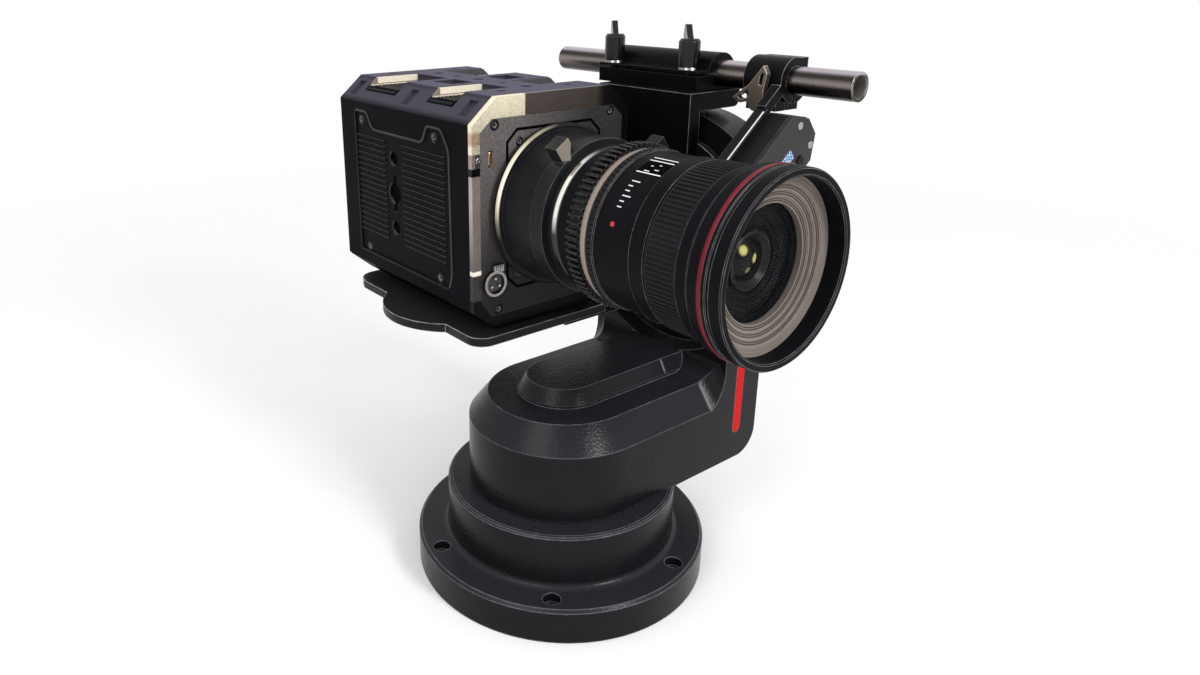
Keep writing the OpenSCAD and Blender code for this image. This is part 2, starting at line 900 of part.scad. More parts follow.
module drive_pinion() {
    color("#1d1d20")
    union() {
        translate([pinion_x, 0, pinion_z])
            yext(-55.4, -46.8)
                polygon(gear_points(pinion_teeth, gear_m, 0.85, 1.3,
                    pinion_angle + 180 + 180 / pinion_teeth));
        ycyl(drive_rear - 7, -55, 3, pinion_x, pinion_z);
    }
}

module camera_shell() {
    color("#202024")
    difference() {
        yext(cam_front + 3, cam_rear - 3)
            cam_outline(0);
        intersection() {
            yext(cam_front + 2, cam_rear - 2)
                cam_outline(5);
            box(-60, 60, 0, 160, cam_bot, cam_top - 15);
        }
        xext(-cam_w - 1, -cam_w + 2.2)
            side_outline(0);
        for (p = side_screws)
            xcyl(-cam_w, -cam_w + 4.5, 1.5 + fit, p[0], p[1]);
        for (y = [60, 92])
            zcyl(cam_bot - 1, cam_bot + 3, 3.1 + fit, 0, y);
        for (m = [0, 1])
            mirror([m, 0, 0]) {
                for (y = vent_y)
                    box(6.7 - cam_w, -11, y[0], y[1], vent_z, cam_top + 1);
                box(-27, -11, 68, 88, vent_z, cam_top + 1);
                translate([7.7 - cam_w, 0, cam_top - 6.5])
                    rotate([0, -40.35, 0])
                        for (y = [23, 79, 139])
                            box(-5.5, 5.5, y - 4, y + 4, -2.2, 4);
            }
        for (y = [34.5, 79, 122])
            zcyl(cam_top - 4, cam_top + 1, 3.4, 0, y);
        for (y = [56, 101])
            zcyl(cam_top - 4, cam_top + 1, 2.4, 0, y);
        for (x = [-23, 23], y = [27, 138])
            zcyl(cam_top - 4, cam_top + 1, 2.5, x, y);
    }
}

module camera_bezel() {
    color("#a39a8c")
    difference() {
        yext(cam_front, cam_front + 3)
            cam_outline(0);
        yext(cam_front - 1, cam_front + 4)
            plate_outline();
    }
}

module camera_front_plate() {
    color("#2a2a2d")
    difference() {
        yext(cam_front, cam_front + 3)
            plate_outline();
        ycyl(cam_front - 1, cam_front + 4, 27, 0, lens_z);
        for (p = front_screws) {
            ycyl(cam_front - 1, cam_front + 4, 1.6, p[0], p[1]);
            ycyl(cam_front - 1, cam_front + 1.6, 3, p[0], p[1]);
        }
        for (p = inner_screws) {
            ycyl(cam_front - 1, cam_front + 4, 1.6, p[0], p[1]);
            ycyl(cam_front - 1, cam_front + 1.6, 2.6, p[0], p[1]);
        }
        box(10.1 - cam_w, 13.3 - cam_w, cam_front - 1, cam_front + 1.5, cam_top - 35.5, cam_top - 27);
    }
}

module camera_side_panel() {
    color("#1c1c1f")
    difference() {
        union() {
            xext(-cam_w + 0.6, -cam_w + 2.2)
                side_outline(0.3);
            for (i = [0 : 17], c = [[97, 130.2], [35.2, 78.8]])
                box(-cam_w + 0.1, -cam_w + 1, c[0], c[1], 181.6 + i * 3.44, 183 + i * 3.44);
        }
        for (p = side_screws) {
            xcyl(-cam_w - 1, -cam_w + 3, 1.6, p[0], p[1]);
            xcyl(-cam_w - 1, -cam_w + 1.3, 3.6, p[0], p[1]);
        }
        for (z = [232.5, 191.3])
            xcyl(-cam_w - 1, -cam_w + 1.7, 4, 87.5, z);
        xcyl(-cam_w - 1, -cam_w + 1.7, 6, 87.5, 211.9);
        box(-cam_w - 1, -cam_w + 1.7, 85.8, 89.2, 201, 222.8);
    }
}

module camera_rear_panel() {
    color("#1c1c1f")
    difference() {
        yext(cam_rear - 3, cam_rear)
            cam_outline(0.4);
        for (x = [-30 : 12 : 30])
            box(x - 4, x + 4, cam_rear - 1.2, cam_rear + 1, 232, 250);
        box(-36, 36, cam_rear - 1.5, cam_rear + 1, 168, 222);
    }
}

module camera_fins() {
    color("#d6cfc4")
    for (m = [0, 1])
        mirror([m, 0, 0])
            for (y = vent_y)
                intersection() {
                    yext(y[0] + 0.1, y[1])
                        cam_outline(0.4);
                    union() {
                        box(6.8 - cam_w, -11.1, y[0] + 0.1, y[1], vent_z, vent_z + 1.2);
                        box(6.8 - cam_w, -11.1, y[1] - 2, y[1], vent_z, cam_top);
                        for (x = [8.2 - cam_w : 2.6 : -12])
                            box(x, x + 1.1, y[0] + 3, y[1] - 1, vent_z + 1, vent_z + 4.5);
                    }
                }
}

module camera_screws() {
    color("#38383c")
    union() {
        for (p = side_screws) {
            xcyl(-cam_w + 0.2, -cam_w + 1.3, 3.2, p[0], p[1]);
            xcyl(-cam_w + 1.2, -cam_w + 4.4, 1.5, p[0], p[1]);
        }
        for (p = front_screws) {
            ycyl(cam_front + 0.2, cam_front + 1.6, 2.8, p[0], p[1]);
            ycyl(cam_front + 1.5, cam_front + 3, 1.5, p[0], p[1]);
        }
        for (p = inner_screws) {
            ycyl(cam_front + 0.2, cam_front + 1.6, 2.4, p[0], p[1]);
            ycyl(cam_front + 1.5, cam_front + 3, 1.5, p[0], p[1]);
        }
    }
}

module camera_connector() {
    color("#a8a6a4")
    difference() {
        union() {
            ycyl(cam_front - 2.6, cam_front, 7.2, conn[0], conn[1]);
            box(conn[0] - 1.2, conn[0] + 5.6, cam_front - 2.2, cam_front, conn[1] + 6, conn[1] + 10);
        }
        ycyl(cam_front - 4, cam_front - 0.8, 5.6, conn[0], conn[1]);
    }
}

module camera_mount() {
    color("#242427")
    lens_turn([[27, -cam_front], [40.4, -cam_front], [40.4, -6.2], [44.1, -6.2], [44.1, -3.4], [43, -2.4],
        [41, -2.4], [39.6, 18.3], [34, 18.3], [34, 28.3], [37.3, 28.3], [37.3, 30.5], [27, 30.5]]);
}

module camera_lock_ring() {
    color("#2a2a2d")
    difference() {
        union() {
            ycyl(-28, -18.6, 40.4, 0, lens_z);
            translate([0, 0, lens_z])
                for (t = [[124, 49], [35, 57]])
                    rotate([0, -t[0], 0])
                        box(38, t[1], -27.6, -19, -4.5, 4.5);
        }
        ycyl(-29, -18, 34 + run, 0, lens_z);
    }
}

module lens_mount() {
    color("#c4c4c8")
    lens_turn([[30, 30.5], [37.2, 30.5], [37.2, 34.3], [36.6, 35], [30, 35]]);
}

module lens_barrel() {
    color("#1d1d20")
    lens_turn([[27, 35], [36.6, 35], [37, 35.5], [37, 46.5], [36, 46.5], [36, 58.8], [39.6, 58.8], [40, 59.2],
        [40, 63], [39.3, 63.4], [39.3, 86], [40, 86.6], [40, 95], [36, 95], [36, 113.8], [27, 113.8]]);
}

module zoom_gear_ring() {
    color("#242427")
    difference() {
        union() {
            translate([0, 0, lens_z])
                yext(-54.3, -46.8)
                    polygon(gear_points(ring_teeth, gear_m, 0.85, 1.3, pinion_angle));
            ycyl(-58.5, -54.2, 40, 0, lens_z, 39);
        }
        ycyl(-60, -45, ring_bore, 0, lens_z);
    }
}

module focus_ring() {
    color("#161618")
    lens_turn([[ring_bore, 95.3], [40, 95.3], [40.5, 95.8], [40.5, 113], [40, 113.5], [ring_bore, 113.5]]);
}

module lens_front_barrel() {
    color("#1d1d20")
    lens_turn([[31, 113.8], [40.5, 113.8], [40.8, 114.3], [40.8, 120], [43.2, 122.5], [43.6, 128], [36, 128],
        [36, 115.5], [31, 115.5]]);
}

module lens_red_ring() {
    color("#c01822")
    lens_turn([[40.5, 128], [44.2, 128], [44.3, 129.8], [44.1, 130.4], [40.5, 130.4]]);
}

module lens_front_rim() {
    color("#232326")
    lens_turn([[40.5, 130.4], [44.1, 130.4], [44.1, 132.2], [43.6, 132.6], [43.6, 134], [44.25, 134.6],
        [44.25, 140.2], [43.7, 140.8], [41.2, 140.8], [40.5, 140.2]]);
}

module lens_baffle() {
    color("#6b6259")
    lens_turn([[27, 115.5], [35.9, 115.5], [35.9, 128], [40.4, 128], [40.4, 132], [36, 131.2], [36, 130.7],
        [33, 130.1], [33, 129.6], [30, 129], [30, 128.5], [27, 128]]);
}

module lens_glass() {
    color("#202830")
    union() {
        ycyl(-115.5, -113.8, 30, 0, lens_z);
        intersection() {
            ycyl(-135, -114, 26.7, 0, lens_z);
            translate([0, -71.8, lens_z])
                sphere(60);
        }
    }
}

base_casting();
base_bottom_cover();
base_cover_screws();
pan_sun_gear();
pan_bearing_outer();
pan_bearing_inner();
pan_spigot();
pan_motor();
pan_pinion();
arm_shell();
arm_under_cover();
tower_cover();
pan_cover_screws();
light_bar();
control_board();
tilt_motor();
tilt_motor_pulley();
tilt_belt();
tilt_bearing();
tilt_shaft();
tilt_hub();
cradle_upright();
cradle_screws();
cradle_plate();
camera_bolts();
camera_pad();
rod_block();
wing_washers();
wing_screw_front();
wing_screw_rear();
support_rod();
rod_clamp();
clamp_lever();
drive_housing();
drive_rail();
drive_panel();
drive_screws();
drive_display();
drive_button_upper();
drive_button_lower();
drive_pinion();
camera_shell();
camera_bezel();
camera_front_plate();
camera_side_panel();
camera_rear_panel();
camera_fins();
camera_screws();
camera_connector();
camera_mount();
camera_lock_ring();
lens_mount();
lens_barrel();
zoom_gear_ring();
focus_ring();
lens_front_barrel();
lens_red_ring();
lens_front_rim();
lens_baffle();
lens_glass();
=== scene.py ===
"""Looks of a robotic pan tilt head that carries a box camera, a zoom lens and a geared lens drive."""

import logging
import math
from collections.abc import Sequence
from dataclasses import dataclass, field
from enum import Enum

import bmesh
import bpy
from mathutils import Matrix, Vector


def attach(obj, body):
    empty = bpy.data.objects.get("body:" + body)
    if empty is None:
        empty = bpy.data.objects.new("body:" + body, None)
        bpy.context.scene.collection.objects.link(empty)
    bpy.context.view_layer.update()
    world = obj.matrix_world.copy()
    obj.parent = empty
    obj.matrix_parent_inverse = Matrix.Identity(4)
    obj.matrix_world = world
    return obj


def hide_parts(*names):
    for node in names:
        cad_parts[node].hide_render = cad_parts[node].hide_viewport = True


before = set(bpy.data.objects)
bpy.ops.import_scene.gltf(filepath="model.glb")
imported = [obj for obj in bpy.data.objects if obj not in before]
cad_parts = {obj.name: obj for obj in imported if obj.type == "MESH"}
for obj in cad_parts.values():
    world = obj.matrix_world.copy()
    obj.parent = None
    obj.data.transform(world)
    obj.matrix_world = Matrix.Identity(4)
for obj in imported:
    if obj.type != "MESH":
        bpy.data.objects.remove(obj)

LOG = logging.getLogger("scene")
Point = tuple[float, float]
Triple = tuple[float, float, float]
Colour = tuple[float, float, float, float]
Socket = bpy.types.NodeSocket

MM = 0.001
FULL_TURN = 360.0
MERGE = 1e-4  # millimetres between points that are one
SMOOTH_ANGLE = math.radians(35.0)
FORWARD: Triple = (0, -1, 0)
LEFT: Triple = (-1, 0, 0)

# Places in the shared frame, in millimetres and degrees
LENS_Z = 214.0
CAM_FRONT = 9.7
SIDE_X = -54.7
DRIVE_TURN = 39.7

# Proportions of a screw head with a star socket
SCREW_SIDES = 24
SCREW_ROUND = 0.18
SOCKET_RIM = 0.32
SOCKET_WAIST = 0.78
SOCKET_DEPTH = 0.55

# Numbers that all finishes share
BROAD_SCALE = 38.0
GRIT_SCALE = 1500.0
WEAR_AND_HIGHLIGHT_SCALE = 160.0
UP_FACING: Point = (0.30, 0.75)
EDGE_FACING: Point = (0.985, 0.90)
BUMP_DEPTH = 0.0004
COAT_ROUGH = 0.12


def rgba(code: str) -> Colour:
    """Turns a hex colour into linear values by the sRGB curve."""
    parts = [int(code[i:i + 2], 16) / 255 for i in (1, 3, 5)]
    lin = [c / 12.92 if c <= 0.04045 else ((c + 0.055) / 1.055) ** 2.4 for c in parts]
    return (lin[0], lin[1], lin[2], 1.0)


class Grain(Enum):
    """How the skin of a finish is made."""

    POWDER = "powder"
    SATIN = "satin"
    BRUSHED = "brushed"
    TURNED = "turned"
    RUBBER = "rubber"
    POLISHED = "polished"


class Body(Enum):
    """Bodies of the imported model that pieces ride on."""

    BASE = "base"
    CRADLE = "cradle"
    FOCUS = "focus"


class Graph:
    """A material's node tree with short ways to add and join nodes."""

    def __init__(self, name: str) -> None:
        """Starts an empty material of that name."""
        self.material = bpy.data.materials.new(name)
        self.material.use_nodes = True
        self.tree = self.material.node_tree
        self.tree.nodes.clear()
        self.out = self.tree.nodes.new("ShaderNodeOutputMaterial")
        self.coords = self.tree.nodes.new("ShaderNodeTexCoord").outputs["Object"]

    def add(self, kind: str, inputs: dict | None = None, **settings: object) -> bpy.types.Node:
        """Adds a node.

        Args:
            kind: Node type without its prefix.
            inputs: Socket names or numbers with a value or a socket to join.
            settings: Properties of the node.

        Returns:
            The new node.
        """
        node = self.tree.nodes.new("ShaderNode" + kind)
        for key, value in settings.items():
            setattr(node, key, value)
        for key, value in (inputs or {}).items():
            if isinstance(value, Socket):
                self.tree.links.new(value, node.inputs[key])
            else:
                node.inputs[key].default_value = value
        return node

    def noise(self, scale: float, detail: float = 2.0, stretch: Triple = (1, 1, 1)) -> Socket:
        """Gives a noise value on object coordinates."""
        vector = self.add("Mapping", {"Vector": self.coords, "Scale": stretch}).outputs[0]
        return self.add("TexNoise", {"Vector": vector, "Scale": scale, "Detail": detail}).outputs[0]

    def ramp(self, value: Socket, low: float, high: float, a: float, b: float) -> Socket:
        """Maps a value from one range to another, clamped."""
        return self.add("MapRange", {0: value, 1: low, 2: high, 3: a, 4: b}).outputs[0]

    def times(self, a: Socket, b: Socket) -> Socket:
        """Multiplies two values."""
        return self.add("Math", {0: a, 1: b}, operation="MULTIPLY").outputs[0]

    def mix(self, factor: Socket, a: Socket | Colour, b: Socket | Colour) -> Socket:
        """Mixes two colours."""
        return self.add("Mix", {0: factor, 6: a, 7: b}, data_type="RGBA").outputs[2]

    def along(self, axis: str) -> Socket:
        """Gives one object coordinate in metres."""
        return self.add("SeparateXYZ", {0: self.coords}).outputs[axis]

    def finish(self, shader: bpy.types.Node) -> bpy.types.Material:
        """Joins the shader to the output."""
        self.tree.links.new(shader.outputs[0], self.out.inputs["Surface"])
        return self.material


def above(value: float) -> Point:
    """Gives the span from a value upwards."""
    return (value, math.inf)


def below(value: float) -> Point:
    """Gives the span up to a value."""
    return (-math.inf, value)


@dataclass(frozen=True)
class Zone:
    """A part of a surface with another colour, between spans in millimetres along the three axes."""

    color: str
    x: Point = (-math.inf, math.inf)
    y: Point = (-math.inf, math.inf)
    z: Point = (-math.inf, math.inf)
    soft: Triple = (0.3, 0.3, 0.3)

    def mask(self, g: Graph) -> Socket:
        """Gives one inside the zone and nought outside it, with a soft edge."""
        value = None
        for axis, (low, high), soft in zip("XYZ", (self.x, self.y, self.z), self.soft):
            for bound, step in ((low, soft), (high, -soft)):
                if math.isinf(bound):
                    continue
                ramp = g.ramp(g.along(axis), (bound - step) * MM, (bound + step) * MM, 0.0, 1.0)
                value = ramp if value is None else g.times(value, ramp)
        return value


@dataclass(frozen=True)
class Finish:
    """A procedural surface: colour variation, grain, rounded edges, painted top light on up-facing faces, and
    edge marks that are partly wear and partly painted highlight.
    """

    name: str
    color: str
    tone: str
    rough: tuple[float, float]
    grain: Grain = Grain.SATIN
    scale: float = 900.0
    bump: float = 0.12
    metallic: float = 0.0
    specular: float = 0.35
    edge: float = 0.4
    # edge marks: partly wear, partly painted highlight
    wear_and_highlight: float = 0.0
    wear_and_highlight_color: str = "#9a9a9e"
    coat: float = 0.0
    stretch: Triple = (1, 1, 1)
    speckle: float = 0.0
    # colour of the painted top light on up-facing faces
    painted_top_light: str = ""
    zones: tuple[Zone, ...] = ()

    def material(self) -> bpy.types.Material:
        """Builds the material, or gives the one built before."""
        made = bpy.data.materials.get("finish_" + self.name)
        return made or self._build(Graph("finish_" + self.name))

    def _grain(self, g: Graph) -> Socket:
        """Gives the height of the finest surface detail."""
        if self.grain is Grain.TURNED:
            where = g.add("Mapping", {"Vector": g.coords, "Location": (0, 0, -LENS_Z * MM)}).outputs[0]
            rings = g.add("TexWave", {"Vector": where, "Scale": self.scale, "Distortion": 0.2, "Detail": 1.0},
                          wave_type="RINGS", rings_direction="Y")
            return rings.outputs[1]
        detail = {Grain.POWDER: 1.0, Grain.RUBBER: 4.0}.get(self.grain, 3.0)
        return g.noise(self.scale, detail, self.stretch)

    def _build(self, g: Graph) -> bpy.types.Material:
        """Makes the node tree."""
        fine = self._grain(g)
        broad = g.ramp(g.noise(BROAD_SCALE, 3.0), 0.3, 0.7, 0.0, 1.0)
        color = g.mix(broad, rgba(self.color), rgba(self.tone))
        for zone in self.zones:
            color = g.mix(zone.mask(g), color, rgba(zone.color))
        if self.speckle > 0:
            grit = g.ramp(g.noise(GRIT_SCALE, 2.0), 0.35, 0.65, 1.0 - self.speckle, 1.0 + self.speckle)
            color = g.add("VectorMath", {0: color, 3: grit}, operation="SCALE").outputs[0]
        rough = g.ramp(fine, 0.25, 0.75, self.rough[0], self.rough[1])
        normal = g.add("Bevel", {"Radius": self.edge * MM}, samples=4).outputs[0]
        # Painted top light: faces whose rounded normal points up get a lighter colour
        if self.painted_top_light:
            own = g.add("VectorTransform", {0: normal}, vector_type="NORMAL", convert_from="WORLD",
                        convert_to="OBJECT").outputs[0]
            up = g.add("SeparateXYZ", {0: own}).outputs["Z"]
            color = g.mix(g.ramp(up, *UP_FACING, 0.0, 1.0), color, rgba(self.painted_top_light))
        # Edge marks, partly wear and partly painted highlight where light would catch the rounded edges
        if self.wear_and_highlight > 0:
            plain = g.add("NewGeometry").outputs["Normal"]
            match = g.add("VectorMath", {0: normal, 1: plain}, operation="DOT_PRODUCT").outputs["Value"]
            rim = g.ramp(match, *EDGE_FACING, 0.0, self.wear_and_highlight)
            rim = g.times(rim, g.ramp(g.noise(WEAR_AND_HIGHLIGHT_SCALE, 4.0), 0.35, 0.65, 0.5, 1.0))
            color = g.mix(rim, color, rgba(self.wear_and_highlight_color))
        bump = g.add("Bump", {"Strength": self.bump, "Distance": BUMP_DEPTH, "Height": fine, "Normal": normal})
        shader = g.add("BsdfPrincipled", {
            "Base Color": color, "Roughness": rough, "Metallic": self.metallic,
            "Specular IOR Level": self.specular, "Coat Weight": self.coat, "Coat Roughness": COAT_ROUGH,
            "Normal": bump.outputs[0]})
        return g.finish(shader)


@dataclass(frozen=True)
class Lamp:
    """A lit red diffuser with a slightly uneven glow."""

    name: str = "light_red"
    color: str = "#940b0e"
    tone: str = "#9e1013"
    glow: float = 0.55

    def material(self) -> bpy.types.Material:
        """Builds the glowing material."""
        g = Graph("finish_" + self.name)
        color = g.mix(g.noise(90.0), rgba(self.color), rgba(self.tone))
        bump = g.add("Bump", {"Strength": 0.05, "Distance": 0.0003, "Height": g.noise(700.0)})
        shader = g.add("BsdfPrincipled", {
            "Base Color": color, "Roughness": 0.4, "Specular IOR Level": 0.05, "Emission Color": color,
            "Emission Strength": self.glow, "Normal": bump.outputs[0]})
        return g.finish(shader)


@dataclass(frozen=True)
class Optic:
    """Coated glass: dark, sharp and partly see-through, with painted reflection spots and a painted sheen
    towards grazing angles.
    """

    name: str
    color: str
    alpha: float
    tint: str
    specular: float = 0.12
    coat: float = 0.08
    glints: tuple[tuple[str, Triple, float], ...] = ()

    def material(self) -> bpy.types.Material:
        """Builds the glass material."""
        g = Graph("finish_" + self.name)
        # Painted sheen: the colour turns to the tint towards grazing angles
        sweep = g.ramp(g.add("LayerWeight", {0: 0.35}).outputs["Facing"], 0.1, 0.9, 0.0, 1.0)
        color = g.mix(sweep, rgba(self.color), rgba(self.tint))
        # Painted reflections: coloured spots fixed on the glass's surface
        for shade, place, radius in self.glints:
            middle = tuple(v * MM for v in place)
            away = g.add("VectorMath", {0: g.coords, 1: middle}, operation="DISTANCE").outputs["Value"]
            color = g.mix(g.ramp(away, radius * MM, 0.6 * radius * MM, 0.0, 1.0), color, rgba(shade))
        rough = g.ramp(g.noise(60.0, 4.0), 0.3, 0.7, 0.01, 0.05)
        shader = g.add("BsdfPrincipled", {
            "Base Color": color, "Roughness": rough, "Specular IOR Level": self.specular, "Alpha": self.alpha,
            "Coat Weight": self.coat, "Coat Roughness": 0.02, "Coat Tint": rgba(self.tint)})
        return g.finish(shader)


@dataclass(frozen=True)
class Screen:
    """A small lit display with plain bars."""

    name: str = "display"
    glow: float = 0.35

    def material(self) -> bpy.types.Material:
        """Builds the display material."""
        g = Graph("finish_" + self.name)
        lean = g.add("Mapping", {"Vector": g.coords, "Rotation": (0, math.radians(DRIVE_TURN), 0)})
        flat = g.add("Mapping", {"Vector": lean.outputs[0], "Rotation": (math.radians(90), 0, 0)})
        bars = g.add("TexBrick", {
            "Vector": flat.outputs[0],
            "Color1": rgba("#7fa6dd"), "Color2": rgba("#cfe0f5"), "Mortar": rgba("#0c1120"),
            "Scale": 220.0, "Mortar Size": 0.06, "Bias": -0.3})
        shader = g.add("BsdfPrincipled", {
            "Base Color": bars.outputs[0], "Roughness": g.ramp(g.noise(200.0), 0.3, 0.7, 0.08, 0.2),
            "Emission Color": bars.outputs[0], "Emission Strength": self.glow})
        return g.finish(shader)


Surface = Finish | Lamp | Optic | Screen


class Finishes:
    """The finishes of the object, by name."""

    CASTING = Finish(
        "casting", "#111114", "#151518", (0.19, 0.30), Grain.POWDER, 850.0, 0.36,
        # Painted light: up-facing faces lighter; the three zones are painted highlights, thin bright lines on
        # the fillets where the slope and hump meet the tower
        specular=0.10, edge=0.9, wear_and_highlight=0.7, wear_and_highlight_color="#929097", painted_top_light="#242428",
        zones=(Zone("#b3aeab", x=(67.6, 69.2), y=below(-43.2), z=(91.5, 104.8), soft=(0.5, 1, 1)),
               Zone("#a09b98", x=(58.8, 60.0), y=(-27, -18), z=(107.6, 114.2), soft=(0.4, 1, 1)),
               Zone("#8a8583", x=(83.6, 85.4), y=(-32, -2), z=(114.9, 121.5), soft=(0.5, 4, 1))))
    CAMERA = Finish(
        "camera_skin", "#0b0b0e", "#0f0f13", (0.42, 0.55), Grain.POWDER, 2600.0, 0.10,
        specular=0.015, edge=0.7, wear_and_highlight=0.3, wear_and_highlight_color="#47454c",
        # Painted top light: the camera's top is lighter and violet, and the band below it a little lighter
        zones=(Zone("#4c495c", z=above(274.0)),
               Zone("#403d46", z=(262.5, 273.8), soft=(1, 1, 1.5))))
    PANEL = Finish(
        "camera_panel", "#09090b", "#0c0c0e", (0.45, 0.6), Grain.SATIN, 1800.0, 0.10,
        # Painted top light: up-facing faces, such as the ribs' upper sides, are lighter
        specular=0.03, edge=0.3, wear_and_highlight=0.3, wear_and_highlight_color="#4a494b", painted_top_light="#575452")
    LIP = Finish(
        "panel_lip", "#302f30", "#3a393a", (0.4, 0.55), Grain.SATIN, 1800.0, 0.08,
        specular=0.06, edge=0.25, wear_and_highlight=0.5, wear_and_highlight_color="#5c5b5c",
        zones=(Zone("#141415", y=above(129.4)), Zone("#141415", z=below(170.2))))
    FRONT = Finish(
        "camera_front", "#413e3e", "#4a4747", (0.45, 0.7), Grain.POWDER, 1300.0, 0.45,
        specular=0.12, edge=0.4, wear_and_highlight=0.3, wear_and_highlight_color="#6a6a6c", speckle=0.25,
        # Painted light: lighter towards the top; painted shade on the right and towards the bottom
        zones=(Zone("#565150", z=above(234), soft=(1, 1, 14)),
               Zone("#2b2a2b", x=above(0), soft=(25, 1, 1)),
               Zone("#232223", z=below(195), soft=(1, 1, 20))))
    CHAMPAGNE = Finish(
        "champagne", "#fdf3d6", "#f2e7cc", (0.28, 0.5), Grain.POWDER, 1600.0, 0.25,
        metallic=0.9, edge=0.4, speckle=0.12,
        # Painted reflections and shade: light and dark bands across the bezel's facets, mostly dark on the
        # right half
        zones=(Zone("#564e49", x=above(-20.5)),
               Zone("#1c1a1b", x=above(32), soft=(3, 1, 1)),
               Zone("#c9ac92", x=below(-40), z=(251.0, 257.5), soft=(1, 1, 1)),
               Zone("#605b58", x=(-52.9, -40), z=(100, 246.5)),
               Zone("#a09085", x=below(-52.9), z=(239.4, 246.5)),
               Zone("#141314", x=below(-40), z=below(239.4)),
               Zone("#b3a6a1", x=below(-40), z=below(235.2)),
               Zone("#6a6361", x=below(-40), z=below(204), soft=(1, 1, 16)),
               Zone("#f2ebe4", x=below(-40), z=below(184.6)),
               Zone("#3a3738", x=below(-20), z=below(182.2)),
               Zone("#0e0d0e", z=below(168))))
    PALE = Finish(
        "pale_vent", "#111014", "#17161a", (0.35, 0.55), Grain.BRUSHED, 500.0, 0.15,
        metallic=0.2, specular=0.05, edge=0.2, stretch=(1, 8, 8), speckle=0.12,
        # Painted light: painted highlights on the fin tops; vent tops pale on the left half and grey on the
        # right
        zones=(Zone("#d6ccba", y=(56.5, 60.2), z=(269.6, 270.2), soft=(0.1, 0.1, 0.1)),
               Zone("#d6ccba", y=(124.5, 128.2), z=(269.6, 270.2), soft=(0.1, 0.1, 0.1)),
               Zone("#e2d8c2", x=below(0), z=above(270.6), soft=(0.2, 0.2, 0.2)),
               Zone("#4f4a4c", x=above(0), z=above(270.6), soft=(0.2, 0.2, 0.2)),
               Zone("#7d726a", x=below(-39.4), z=above(270.2))))
    MOUNT = Finish(
        "mount_black", "#141416", "#1a1a1c", (0.28, 0.42), Grain.TURNED, 260.0, 0.03,
        specular=0.07, edge=0.5, wear_and_highlight=0.25, wear_and_highlight_color="#6c6a68",
        # Painted highlight: a pale crescent on the flange at the upper left
        zones=(Zone("#8f8776", x=below(-10), y=(2.6, 4.6), z=above(210), soft=(7, 0.15, 9)),
               Zone("#e4dcc6", x=below(-28), y=(2.6, 4.6), z=above(219), soft=(7, 0.15, 9))))
    LOCK = Finish(
        "lock_black", "#161618", "#1c1c1e", (0.28, 0.42), Grain.SATIN, 900.0, 0.05,
        specular=0.1, edge=0.5, wear_and_highlight=0.6, wear_and_highlight_color="#8a8781",
        zones=(Zone("#787168", x=below(-22), y=below(-27.2), z=above(246)),))
    LENS = Finish(
        "lens_black", "#0c0c0f", "#111115", (0.36, 0.5), Grain.POWDER, 2800.0, 0.14,
        specular=0.03, edge=0.35, wear_and_highlight=0.8, wear_and_highlight_color="#b4b2b2")
    GEAR = Finish(
        "gear_black", "#0b0b0d", "#101012", (0.25, 0.4), Grain.SATIN, 1200.0, 0.08,
        specular=0.1, edge=0.3, wear_and_highlight=0.7, wear_and_highlight_color="#8d8885",
        zones=(Zone("#94857c", x=below(40), y=below(-54.4), soft=(1, 0.1, 1)),))
    RUBBER = Finish(
        "ring_rubber", "#17171a", "#1d1d20", (0.5, 0.7), Grain.RUBBER, 2200.0, 0.2,
        specular=0.08, edge=0.25, wear_and_highlight=0.7, wear_and_highlight_color="#4c4c50")
    RED = Finish(
        "ring_red", "#651521", "#711a27", (0.3, 0.42), Grain.SATIN, 1500.0, 0.06,
        specular=0.08, edge=0.3, zones=(Zone("#0b0b0d", y=above(-128.7), soft=(1, 0.1, 1)),))
    TAUPE = Finish(
        "taupe", "#675f5a", "#736a64", (0.5, 0.68), Grain.TURNED, 224.0, 0.35,
        specular=0.1, edge=0.3, wear_and_highlight=0.7, wear_and_highlight_color="#c4bab4", speckle=0.10,
        # Painted shade: a little darker towards the upper left
        zones=(Zone("#655e5a", x=below(0), z=above(214), soft=(20, 1, 12)),))
    ROD = Finish(
        "rod_gunmetal", "#565150", "#676160", (0.2, 0.36), Grain.BRUSHED, 700.0, 0.05,
        metallic=1.0, edge=0.5, wear_and_highlight=0.8, wear_and_highlight_color="#d8d4ce", stretch=(6, 0.15, 6), speckle=0.10,
        # Painted reflections: bands along the rod, a pale streak on top, dark above the middle, lighter in the
        # middle and dark below
        zones=(Zone("#b5adb5", z=above(284.4), soft=(1, 1, 0.8)),
               Zone("#3c3636", z=(281.2, 284.4), soft=(1, 1, 0.8)),
               Zone("#857d78", z=(277.2, 281.2), soft=(1, 1, 1.2)),
               Zone("#2c2724", z=below(275.4), soft=(1, 1, 1.2))))
    BORE = Finish(
        "rod_bore", "#57524e", "#645f5a", (0.4, 0.55), Grain.SATIN, 900.0, 0.06,
        specular=0.2, edge=0.1, wear_and_highlight=0.5, wear_and_highlight_color="#d8d4ce")
    GLOSS = Finish(
        "gloss_black", "#08080a", "#0c0c0e", (0.14, 0.24), Grain.POLISHED, 300.0, 0.04,
        specular=0.2, edge=0.6, coat=0.25, wear_and_highlight=0.4, wear_and_highlight_color="#5a5a60")
    CHROME = Finish(
        "chrome", "#8d8882", "#7c7771", (0.14, 0.28), Grain.POLISHED, 400.0, 0.04,
        metallic=1.0, edge=0.3)
